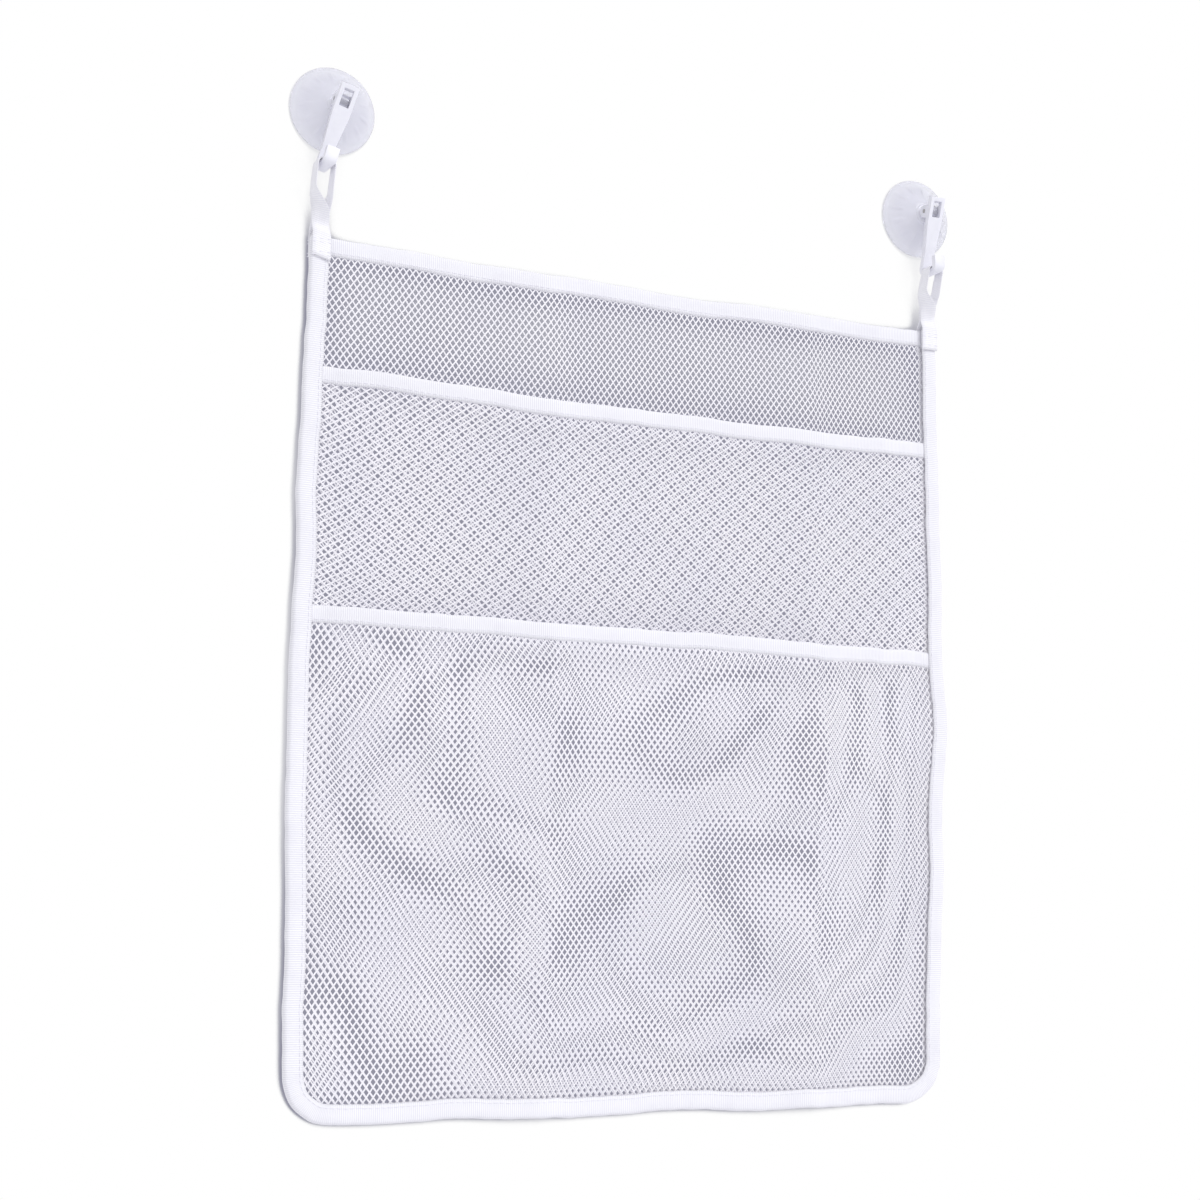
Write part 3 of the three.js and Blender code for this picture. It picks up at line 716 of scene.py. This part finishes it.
# widths and steps in mm; the seeds are for puckers inwards and in depth
edgeTape = {"width": 9, "step": 2.5, "cornerSteps": 14, "seeds": (1, 2)}
topTape = {"width": 8.5, "reach": 171, "step": 2.5, "seed": 3}
mouthTape = {"width": 8, "reach": 169, "step": 2.5, "halfThickness": 0.85, "seeds": (4, 5)}


def foldedSection(width, front, back):
    # out along the front leaf's face, round the fold, back along the inside
    leaf, bulge, pinch = layers["tapeLeaf"], tapeFold["roundness"], tapeFold["pinch"]
    middle, half = (front + back) / 2, (back - front) / 2

    def face(inset):
        bend = bulge - inset
        turns = [math.pi * k / tapeFold["foldSteps"] for k in range(tapeFold["foldSteps"] + 1)]
        leafFront = [(width * run, front + draw * pinch + inset) for run, draw in tapeFold["leafShape"]]
        fold = [(bulge - bend * math.sin(t), middle - (half - inset) * math.cos(t)) for t in turns]
        leafBack = [(a, front + back - b) for a, b in leafFront[::-1]]
        return leafFront + fold + leafBack

    return [(a * mm, b * mm) for a, b in face(0) + face(leaf)[::-1]]


def pucker(place, seed):
    shift = Vector((0, 0, tapeFold["seedStep"] * seed))
    fine = noise.noise(place / (tapeFold["rippleLength"] * mm) + shift)
    broad = noise.noise(place / (tapeFold["crumpleLength"] * mm) - shift)
    return (tapeFold["ripple"] * fine + tapeFold["crumple"] * broad) * mm


def edgeOutline():
    # down the left side, round the foot and up the right side, with the way inwards at each point
    step, turns = edgeTape["step"] * mm, edgeTape["cornerSteps"]
    straight = panelHeight - cornerRadius
    foot = halfWidth - cornerRadius
    downs = math.ceil(straight / step)
    runs = math.ceil(2 * foot / step)

    def corner(side, t):
        place = (side * (foot + cornerRadius * math.cos(t)), panelBottom + cornerRadius * (1 - math.sin(t)))
        return place, (-side * math.cos(t), math.sin(t))

    quarter = [math.pi / 2 * k / turns for k in range(1, turns)]
    points = [((-halfWidth, panelTop - straight * k / downs), (1, 0)) for k in range(downs + 1)]
    points += [corner(-1, t) for t in quarter]
    points += [((-foot + 2 * foot * k / runs, panelBottom), (0, 1)) for k in range(runs + 1)]
    points += [corner(1, t) for t in quarter[::-1]]
    points += [((halfWidth, panelBottom + cornerRadius + straight * k / downs), (-1, 0))
               for k in range(downs + 1)]
    return points


def acrossPanel(settings):
    reach, step = settings["reach"] * mm, settings["step"] * mm
    count = math.ceil(2 * reach / step)
    return [-reach + 2 * reach * k / count for k in range(count + 1)]


def puckered(place, inward, seeds):
    shift = inward * pucker(place, seeds[0]) + backward * pucker(place, seeds[1]) * tapeFold["depthShare"]
    return place + shift, inward, backward


def edgeStations():
    return [puckered(onPanel(x, 0, z), Vector((inX, 0, inZ)), edgeTape["seeds"])
            for (x, z), (inX, inZ) in edgeOutline()]


def topStations():
    stations = []
    for x in acrossPanel(topTape):
        place = onPanel(x, 0, panelTop)
        stations.append((place + downward * pucker(place, topTape["seed"]), downward, backward))
    return stations


def mouthStations(pocket, spots):
    return [puckered(inPocket(pocket, x, pocket["mouth"]), downward, mouthTape["seeds"]) for x in spots]


def sewTape(name, stations, section, *nodes):
    piece = sweepTape(name, stations, section, grosgrainTape)
    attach(piece, "panel")
    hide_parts(*nodes)


sewTape("edge_tape", edgeStations(),
        foldedSection(edgeTape["width"], layers["edgeFront"], layers["edgeBack"]),
        "left_side_binding", "right_side_binding", "left_corner_binding", "right_corner_binding",
        "bottom_binding")
sewTape("top_tape", topStations(),
        foldedSection(topTape["width"], layers["topFront"], layers["topBack"]), "top_binding")
for pocketName, pocket in pockets.items():
    sewTape(pocketName + "_mouth_tape", mouthStations(pocket, acrossPanel(mouthTape)),
            foldedSection(mouthTape["width"], -mouthTape["halfThickness"], mouthTape["halfThickness"]),
            pocketName + "_pocket_binding")
print("tapes folded and sewn on")


# Hanging loops: the tape climbs from the panel's corner, turns a quarter turn and crosses the hook's seat

loopForm = {
    "tapeWidth": 9.4,        # mm at the corner
    "widthOnHook": 7.4,
    "thickness": 0.6,
    "acrossShares": (-0.47, -0.2, 0.2, 0.47),    # shares of the width where the flat faces have points
    "cupPlace": 165.5,       # mm from the middle to a cup's centre
    "seatDepth": -14.01,     # mm, the hook seat's place along Y
    "archFoot": -33.4,       # mm, where the tape starts round the hook
    "archHalf": 4.3,
    "archRise": 3.0,
    "archSquareness": 2 / 3,
    "archProbe": 0.05,       # radians to either side, between which the arch's slope is read
    "basePlace": 170.5,
    "baseDepth": -3.1,
    "baseHalf": 2.75,        # mm from the middle to each end's own layer, outside the edge tape
    "sewnRise": 0.2,         # share of the climb up to which the two ends lie together
    "sewnHalf": 0.45,        # mm from the middle to each end's own layer where they lie together
    "openBy": 0.62,          # share of the rest of the climb by which the tape has turned and opened
    "tail": 11,              # mm that each end is sewn down over the corner
    "tailSteps": 5,
    "legSteps": 30,
    "archSteps": 24,
    "blendDepth": -3.5,      # mm along Y, and
    "blendRise": 5,          # mm over the top edge, where the loop starts to follow the panel
    "turn": {"left": 13, "right": -2},           # degrees that each cup and hook is turned on the wall
}


def stripSection():
    half = loopForm["thickness"] / 2
    shares = loopForm["acrossShares"]
    front = [(a, -half) for a in shares]
    back = [(a, half) for a in shares[::-1]]
    return [(-0.5, 0)] + front + [(0.5, 0)] + back


def loopStations(side, turnDegrees):
    turn = Matrix.Rotation(math.radians(turnDegrees), 3, "Y")
    across, up = turn @ Vector((1, 0, 0)), turn @ Vector((0, 0, 1))
    archFoot = Vector((side * loopForm["cupPlace"], loopForm["seatDepth"], 0)) + up * loopForm["archFoot"]
    base = Vector((side * loopForm["basePlace"], loopForm["baseDepth"], panelTop / mm))
    tail, tailSteps, legSteps, archSteps = (
        loopForm[k] for k in ("tail", "tailSteps", "legSteps", "archSteps"))

    def leg(rise, facing, drop=0.0):
        sewnRise, sewn, atCorner = (loopForm[k] for k in ("sewnRise", "sewnHalf", "tapeWidth"))
        loose = clamp((rise - sewnRise) / (1 - sewnRise), 0, 1)
        opened = ease(clamp(loose / loopForm["openBy"], 0, 1))
        twist = opened * math.pi / 2
        out = -backward * math.cos(twist) - across * math.sin(twist)
        wide = across * math.cos(twist) - backward * math.sin(twist)
        if rise < sewnRise:
            closing = ease(clamp(rise / sewnRise, 0, 1))
            apart = loopForm["baseHalf"] + (sewn - loopForm["baseHalf"]) * closing
        else:
            apart = sewn + (loopForm["archHalf"] - sewn) * opened
        width = atCorner + (loopForm["widthOnHook"] - atCorner) * clamp(rise, 0, 1)
        centre = base.lerp(archFoot, rise)
        centre.x = archFoot.x + (base.x - archFoot.x) * (1 - rise) ** 2
        return centre + out * facing * apart + downward * drop, wide * width, out * facing

    def archSpot(angle):
        cosine, square = math.cos(angle), loopForm["archSquareness"]
        return Vector((-loopForm["archHalf"] * math.copysign(abs(cosine) ** square, cosine),
                       loopForm["archRise"] * abs(math.sin(angle)) ** square))

    def arch(angle):
        before = archSpot(max(angle - loopForm["archProbe"], 0))
        after = archSpot(min(angle + loopForm["archProbe"], math.pi))
        slope = (after - before).normalized()
        spot = archSpot(angle)
        place = archFoot + across * spot.x + up * spot.y
        return place, -backward * loopForm["widthOnHook"], up * slope.x - across * slope.y

    stations = [leg(0, 1, tail * (1 - k / tailSteps)) for k in range(tailSteps)]
    stations += [leg(k / legSteps, 1) for k in range(legSteps)]
    stations += [arch(math.pi * k / archSteps) for k in range(archSteps + 1)]
    stations += [leg(k / legSteps, -1) for k in range(legSteps - 1, -1, -1)]
    stations += [leg(0, -1, tail * k / tailSteps) for k in range(1, tailSteps + 1)]
    return stations


def makeLoop(name, side):
    stations = loopStations(side, loopForm["turn"][name])
    scaled = [(place * mm, wide * mm, out * mm) for place, wide, out in stations]
    piece = sweepTape(name + "_hanging_loop", scaled, stripSection(), litGrosgrainLoop)
    widthScale = loopForm["tapeWidth"] * mm
    for item in piece.data.uv_layers["UVMap"].data:
        item.uv = (item.uv[0], item.uv[1] * widthScale)
    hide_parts(name + "_loop")
    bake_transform(piece)


for sideName, side in sides.items():
    makeLoop(sideName, side)
print("hanging loops twisted and sewn on")


# Sewing thread: stitches along every tape, and rows across the loops' ends

stitching = {
    "pitch": 3.0,            # mm from stitch to stitch
    "length": 2.3,
    "radius": 0.2,
    "tip": 0.35,             # share of the radius that is left at a stitch's ends
    "full": 0.6,             # share of its length that is full
    "sides": 6,
    "inFromEdge": 1.6,       # mm from the tape's inner edge
    "sunk": 0.6,             # share of the leaf's pinch by which it lies deeper there
    "rowDrops": (2.0, 3.6, 8.2, 9.8),    # mm below the top edge, the rows across each loop's end
    "rowInset": 0.8,         # mm from the loop's edges to the ends of a row
}


def makeStitch():
    half, radius, count = stitching["length"] / 2 * mm, stitching["radius"] * mm, stitching["sides"]
    tip, full = stitching["tip"], stitching["full"]
    rings = [(-half, tip), (-full * half, 1.0), (full * half, 1.0), (half, tip)]
    vertices, faces = [], []
    for x, share in rings:
        for k in range(count):
            t = 2 * math.pi * k / count
            vertices.append((x, radius * share * math.cos(t), radius * share * math.sin(t)))
    for r in range(len(rings) - 1):
        for k in range(count):
            one, two = r * count + k, r * count + (k + 1) % count
            faces.append((one, one + count, two + count, two))
    faces.append(tuple(range(count)))
    faces.append(tuple(len(vertices) - 1 - k for k in range(count)))
    return newPiece("stitch", vertices, faces)


def seamAlong(stations, inset, y):
    return [place + inward * inset + backward * (y * mm) for place, inward, _ in stations]


def seamLines():
    lines = []
    sunk = stitching["sunk"] * tapeFold["pinch"]
    bare = halfWidth - edgeTape["width"] * mm        # half the width between the edge tapes
    edgeIn, topIn, mouthIn = (
        (tape["width"] - stitching["inFromEdge"]) * mm for tape in (edgeTape, topTape, mouthTape))
    for y in (layers["edgeFront"] + sunk, layers["edgeBack"] - sunk):
        lines.append(seamAlong(edgeStations(), edgeIn, y))
    for y in (layers["topFront"] + sunk, layers["topBack"] - sunk):
        lines.append([onPanel(x, y * mm, panelTop) + downward * topIn
                      for x in acrossPanel(topTape) if abs(x) < bare])
    mouthSpots = [x for x in acrossPanel(mouthTape) if abs(x) < bare]
    mouthSkin = mouthTape["halfThickness"] - sunk
    for pocket in pockets.values():
        for y in (-mouthSkin, mouthSkin):
            lines.append(seamAlong(mouthStations(pocket, mouthSpots), mouthIn, y))
    reach = (loopForm["tapeWidth"] / 2 - stitching["rowInset"]) * mm
    loopSkin = loopForm["baseHalf"] + loopForm["thickness"] / 2
    for side in sides.values():
        middle = side * loopForm["basePlace"] * mm
        for drop in stitching["rowDrops"]:
            z = panelTop - drop * mm
            for y in (loopForm["baseDepth"] - loopSkin, loopForm["baseDepth"] + loopSkin):
                lines.append([Vector((middle + share * reach, y * mm, z)) for share in (-1, 0, 1)])
    return lines


def makeStitchTree():
    tree, given = newTree("sewing", {
        "Seams": "Geometry", "Stitch": "Object", "Pitch": "Float", "Thread": "Material"}, "Stitches")
    stitch = addNode(tree, "GeometryNodeObjectInfo", inputs={"Object": given["Stitch"], "As Instance": True})
    curves = addNode(tree, "GeometryNodeMeshToCurve", inputs={"Mesh": given["Seams"]})
    spots = addNode(tree, "GeometryNodeCurveToPoints", {"mode": "LENGTH"}, {
        "Curve": curves.outputs["Curve"], "Length": given["Pitch"]})
    heading = addNode(tree, "FunctionNodeAlignRotationToVector", {"axis": "X"}, {
        "Vector": spots.outputs["Tangent"]})
    copies = addNode(tree, "GeometryNodeInstanceOnPoints", inputs={
        "Points": spots.outputs["Points"], "Instance": stitch.outputs["Geometry"],
        "Rotation": heading.outputs["Rotation"]})
    sewn = addNode(tree, "GeometryNodeRealizeInstances", inputs={"Geometry": copies.outputs["Instances"]})
    dyed = addNode(tree, "GeometryNodeSetMaterial", inputs={
        "Geometry": sewn.outputs["Geometry"], "Material": given["Thread"]})
    addNode(tree, "NodeGroupOutput", inputs={"Stitches": dyed.outputs["Geometry"]})
    return tree


def makeStitches():
    vertices, edges = [], []
    for line in seamLines():
        first = len(vertices)
        vertices += line
        edges += [(first + k, first + k + 1) for k in range(len(line) - 1)]
    piece = newPiece("sewing_thread", vertices, [], edges=edges)
    stitch = makeStitch()
    bakeTree(piece, makeStitchTree(), {
        "Stitch": stitch, "Pitch": stitching["pitch"] * mm, "Thread": polyesterThread})
    bpy.data.objects.remove(stitch)
    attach(piece, "panel")
    print("stitch faces:", len(piece.data.polygons))


makeStitches()


# Suction cups: a turned shell with short moulded ribs, a neck and a knuckle for the hook's pin

cupForm = {
    "radius": 21.0,          # mm
    "hub": 5.5,
    "hubFlare": 1.2,         # mm that the skirt's top stands out from the hub
    "hubStep": 1.0,
    "hubEdge": ((0.45, 0.25), (0, 0.8), (-0.5, 1)),      # mm out from the hub, share of its step
    "height": 9.5,
    "wall": 1.7,
    "hollowCurve": 1.7,      # how squarely the hollow rises from the rim
    "skirtCurve": 0.86,      # how squarely the outside does
    "rimWidth": 1.8,
    "rimThickness": 0.9,
    "rimEdge": ((-0.25, 0), (0, 1 / 3), (0, 2 / 3), (-0.3, 1)),      # mm out, share of the thickness
    "rimStep": 0.35,         # mm from the rim's top to the skirt's foot
    "knuckleRadius": 3.6,
    "knuckleWidth": 4.2,
    "neckHeight": 3.8,
    "pinDepth": 14.4,
    "boreRadius": 1.2,
    "segments": 144,
    "knuckleSegments": 56,
    "boreSegments": 32,
    "insideSteps": 12,
    "outsideSteps": 14,
    "weld": 1e-4,            # mm
    "ribs": 13,
    "ribHeight": 0.55,
    "ribSpan": (11.5, 18.5),
    "ribSharpness": 3,
    "thinFrom": (14, 20.5),  # mm from the middle, where the skirt starts to clear and is clearest
    "smoothBelow": 32,       # degrees
}


def cupProfile():
    # from the hollow's middle out to the rim on the wall, then back over the outside to the hub
    radius, hub, height, hubStep = (cupForm[k] for k in ("radius", "hub", "height", "hubStep"))
    hollow = height - cupForm["wall"]
    edge = radius - cupForm["rimWidth"]
    shoulder = hub + cupForm["hubFlare"]
    foot = cupForm["rimThickness"] + cupForm["rimStep"]
    inside, outside = [], []
    for k in range(cupForm["insideSteps"] + 1):
        share = k / cupForm["insideSteps"]
        inside.append((edge * share, -hollow * (1 - share ** cupForm["hollowCurve"])))
    for k in range(cupForm["outsideSteps"] + 1):
        share = k / cupForm["outsideSteps"]
        rise = (height - foot) * share ** cupForm["skirtCurve"]
        outside.append((edge + (shoulder - edge) * share, -foot - rise))
    rim = [(radius + out, -up * cupForm["rimThickness"]) for out, up in cupForm["rimEdge"]]
    cap = [(hub + out, -height - up * hubStep) for out, up in cupForm["hubEdge"]]
    return inside + rim, outside + cap + [(0, -height - hubStep)]


def turnProfile(under, over):
    # one turn about Y, with ribs on the part that shows
    vertices, faces, rows = [], [], []
    segments = cupForm["segments"]
    low, high = cupForm["ribSpan"]
    for n, (r, y) in enumerate(under + over):
        if r == 0:
            rows.append([len(vertices)] * segments)
            vertices.append((0, y * mm, 0))
            continue
        row = []
        for k in range(segments):
            t = 2 * math.pi * k / segments
            lift = 0.0
            if n >= len(under) and low < r < high:
                wave = max(math.cos(cupForm["ribs"] * t), 0) ** cupForm["ribSharpness"]
                lift = cupForm["ribHeight"] * wave * math.sin(math.pi * (r - low) / (high - low))
            row.append(len(vertices))
            vertices.append((r * mm * math.cos(t), (y - lift) * mm, r * mm * math.sin(t)))
        rows.append(row)
    for one, two in zip(rows, rows[1:]):
        for k in range(segments):
            n = (k + 1) % segments
            face = []
            for v in (one[k], one[n], two[n], two[k]):
                if v not in face:
                    face.append(v)
            if len(face) > 2:
                faces.append(tuple(face))
    return vertices, faces


def toolPiece(name, build):
    # a plain body that is joined to the cup or cut from it, and then removed
    mesh = bpy.data.meshes.new(name)
    reshape(mesh, build)
    return linkObject(name, mesh)


def pinRound(name, radius, length, segments):
    pinPlace = Matrix.Translation((0, -cupForm["pinDepth"] * mm, 0))
    return toolPiece(name, lambda shape: bmesh.ops.create_cone(
        shape, cap_ends=True, segments=segments, radius1=radius * mm, radius2=radius * mm,
        depth=length * mm, matrix=pinPlace @ Matrix.Rotation(math.pi / 2, 4, "Y")))


def makeNeck():
    length = cupForm["pinDepth"] - cupForm["height"] + cupForm["hubStep"]
    size = Matrix.Diagonal((cupForm["knuckleWidth"] * mm, length * mm, cupForm["neckHeight"] * mm, 1))
    place = Matrix.Translation((0, (-cupForm["pinDepth"] + length / 2) * mm, 0))
    return toolPiece("neck", lambda shape: bmesh.ops.create_cube(shape, size=1.0, matrix=place @ size))


def makeCup(name, side):
    vertices, faces = turnProfile(*cupProfile())
    piece = newPiece(name + "_cup", vertices, faces, softVinyl)

    def close(shape):
        bmesh.ops.remove_doubles(shape, verts=shape.verts, dist=cupForm["weld"] * mm)
        bmesh.ops.recalc_face_normals(shape, faces=shape.faces)

    reshape(piece.data, close)
    width = cupForm["knuckleWidth"]
    neck = makeNeck()
    knuckle = pinRound("knuckle", cupForm["knuckleRadius"], width, cupForm["knuckleSegments"])
    bore = pinRound("bore", cupForm["boreRadius"], 2 * width, cupForm["boreSegments"])
    for tool, operation in ((neck, "UNION"), (knuckle, "UNION"), (bore, "DIFFERENCE")):
        step = piece.modifiers.new(tool.name, "BOOLEAN")
        step.operation = operation
        step.object = tool
        step.solver = "EXACT"
    bakeModifiers(piece)
    for tool in (neck, knuckle, bore):
        bpy.data.objects.remove(tool)
    turn = Matrix.Rotation(math.radians(loopForm["turn"][name]), 4, "Y")
    piece.data.transform(Matrix.Translation((side * loopForm["cupPlace"] * mm, 0, 0)) @ turn)
    smoothByAngle(piece, cupForm["smoothBelow"])
    near, far = cupForm["thinFrom"]
    thinness = piece.data.attributes.new("thinness", "FLOAT", "POINT")
    for vertex, item in zip(piece.data.vertices, thinness.data):
        out = math.hypot(vertex.co.x / mm - side * loopForm["cupPlace"], vertex.co.z / mm)
        item.value = ease(clamp((out - near) / (far - near), 0, 1))
    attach(piece, "wall_hangers")
    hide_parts(name + "_suction_cup")


for sideName, side in sides.items():
    makeCup(sideName, side)
print("suction cups turned")


# Hooks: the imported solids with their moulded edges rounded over

hookEdge = {
    "round": 0.45,           # mm
    "steps": 3,
    "sharperThan": 32,       # degrees
    "smoothBelow": 40,       # degrees
    "weld": 0.001,           # mm
    "flatWithin": 0.5,       # degrees between faces that count as one flat face
}


def makeHook(name):
    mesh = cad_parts[name + "_hook"].data.copy()
    mesh.name = name + "_lever_hook"
    mesh.materials.clear()
    mesh.materials.append(mouldedAbs)

    def joinFaces(shape):
        bmesh.ops.remove_doubles(shape, verts=shape.verts, dist=hookEdge["weld"] * mm)
        bmesh.ops.dissolve_limit(shape, angle_limit=math.radians(hookEdge["flatWithin"]),
                                 verts=shape.verts, edges=shape.edges)

    reshape(mesh, joinFaces)
    piece = linkObject(name + "_lever_hook", mesh)
    bevel = piece.modifiers.new("roundEdges", "BEVEL")
    bevel.width = hookEdge["round"] * mm
    bevel.segments = hookEdge["steps"]
    bevel.limit_method = "ANGLE"
    bevel.angle_limit = math.radians(hookEdge["sharperThan"])
    bevel.use_clamp_overlap = True
    bakeModifiers(piece)
    smoothByAngle(piece, hookEdge["smoothBelow"])
    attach(piece, name + "_lever")
    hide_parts(name + "_hook")


for sideName in sides:
    makeHook(sideName)
    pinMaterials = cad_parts[sideName + "_hook_pin"].data.materials
    pinMaterials.clear()
    pinMaterials.append(drawnSteel)
print("hooks and pins finished")


# Stage: a white wall with painted contact shade where the object lies close over it, a pale floor and soft
# light

stageLook = {
    "reach": 2.0,            # m from the middle to the ends of the wall and the floor
    "wall": "#ffffff",
    "wallTop": 1.2,          # m
    "wallGap": 0.4,          # mm behind the cups
    "contactShade": "#9292a1",
    "contactReach": 45,      # mm
    "contactSamples": 24,
    "contactOpen": (0.55, 0.68),     # how open the sky is where the wall is grey, and where white
    "bareAbove": (-5, 15),   # mm over the panel's top, between which the shade thins towards the cups
    "bareBeside": (0, 5),    # mm out from its sides and its foot, between which the shade thins
    "bareShare": 0.7,        # share of the shade that is gone there
    "floor": "#f1f1f4",
    "floorHeight": -0.8,     # m
    "skyColour": "#f6f6f9",
    "skyStrength": 0.82,
    "sunStrength": 1.2,
    "sunFrom": (0.45, -1.0, 0.75),
    "sunSpread": 40,         # degrees
}


def seenFromFront(tree, surface):
    # nothing shows from behind, so that the object can be looked at from there
    through = addNode(tree, "ShaderNodeBsdfTransparent")
    side = addNode(tree, "ShaderNodeNewGeometry")
    face = addNode(tree, "ShaderNodeMixShader", inputs={
        0: side.outputs["Backfacing"], 1: surface, 2: through.outputs["BSDF"]})
    addNode(tree, "ShaderNodeOutputMaterial", inputs={"Surface": face.outputs["Shader"]})


def makeWall():
    material, tree = newMaterial("paintedWall")
    # painted contact shade: the wall glows white and greys by ambient occlusion where the object lies close
    # over it, thinned near the cups, the sides and the foot
    contact = addNode(tree, "ShaderNodeAmbientOcclusion", {"samples": stageLook["contactSamples"]}, {
        "Distance": stageLook["contactReach"] * mm})
    closed, opened = stageLook["contactOpen"]
    clear = addNode(tree, "ShaderNodeMapRange", inputs={
        "Value": contact.outputs["AO"], "From Min": closed, "From Max": opened})
    place = addNode(tree, "ShaderNodeTexCoord")
    spot = addNode(tree, "ShaderNodeSeparateXYZ", inputs={"Vector": place.outputs["Object"]})
    across = addNode(tree, "ShaderNodeMath", {"operation": "ABSOLUTE"}, {0: spot.outputs["X"]})
    near, far = (edge * mm for edge in stageLook["bareBeside"])
    low, high = (edge * mm for edge in stageLook["bareAbove"])
    bare = clear.outputs["Result"]
    for value, start, end in ((spot.outputs["Z"], panelTop + low, panelTop + high),
                              (spot.outputs["Z"], panelBottom - near, panelBottom - far),
                              (across.outputs["Value"], halfWidth + near, halfWidth + far)):
        beyond = addNode(tree, "ShaderNodeMapRange", inputs={
            "Value": value, "From Min": start, "From Max": end, "To Max": stageLook["bareShare"]})
        barer = addNode(tree, "ShaderNodeMath", {"operation": "MAXIMUM"}, {
            0: bare, 1: beyond.outputs["Result"]})
        bare = barer.outputs["Value"]
    ray = addNode(tree, "ShaderNodeLightPath")
    white = addNode(tree, "ShaderNodeMath", {"operation": "MAXIMUM"}, {
        0: bare, 1: ray.outputs["Is Transmission Ray"]})
    tone = addNode(tree, "ShaderNodeMix", {"data_type": "RGBA"}, {
        "Factor": white.outputs["Value"],
        "A": linearColour(stageLook["contactShade"]), "B": linearColour(stageLook["wall"])})
    glow = addNode(tree, "ShaderNodeEmission", inputs={"Color": tone.outputs["Result"], "Strength": 1.0})
    seenFromFront(tree, glow.outputs["Emission"])
    reach, y = stageLook["reach"], stageLook["wallGap"] * mm
    foot, top = stageLook["floorHeight"], stageLook["wallTop"]
    wall = newPiece("wall", [(-reach, y, foot), (reach, y, foot), (reach, y, top), (-reach, y, top)],
                    [(0, 1, 2, 3)], material, smooth=False)
    wall.visible_diffuse = False
    wall.visible_shadow = False
    return wall


def makeFloor():
    material, tree = newMaterial("paleFloor")
    surface = addNode(tree, "ShaderNodeBsdfPrincipled", inputs={
        "Base Color": linearColour(stageLook["floor"]), "Roughness": 0.8})
    seenFromFront(tree, surface.outputs["BSDF"])
    reach, z = stageLook["reach"], stageLook["floorHeight"]
    corners = [(-reach, -reach, z), (reach, -reach, z), (reach, reach, z), (-reach, reach, z)]
    return newPiece("floor", corners, [(0, 1, 2, 3)], material, smooth=False)


def makeLight():
    world = bpy.data.worlds.new("softSky")
    world.use_nodes = True
    tree = world.node_tree
    tree.nodes.clear()
    sky = addNode(tree, "ShaderNodeBackground", inputs={
        "Color": linearColour(stageLook["skyColour"]), "Strength": stageLook["skyStrength"]})
    addNode(tree, "ShaderNodeOutputWorld", inputs={"Surface": sky.outputs["Background"]})
    scene.world = world
    data = bpy.data.lights.new("softSun", "SUN")
    data.energy = stageLook["sunStrength"]
    data.angle = math.radians(stageLook["sunSpread"])
    sun = linkObject("softSun", data)
    sun.rotation_euler = Vector(stageLook["sunFrom"]).to_track_quat("Z", "Y").to_euler()


makeWall()
makeFloor()
makeLight()
print("stage lit")
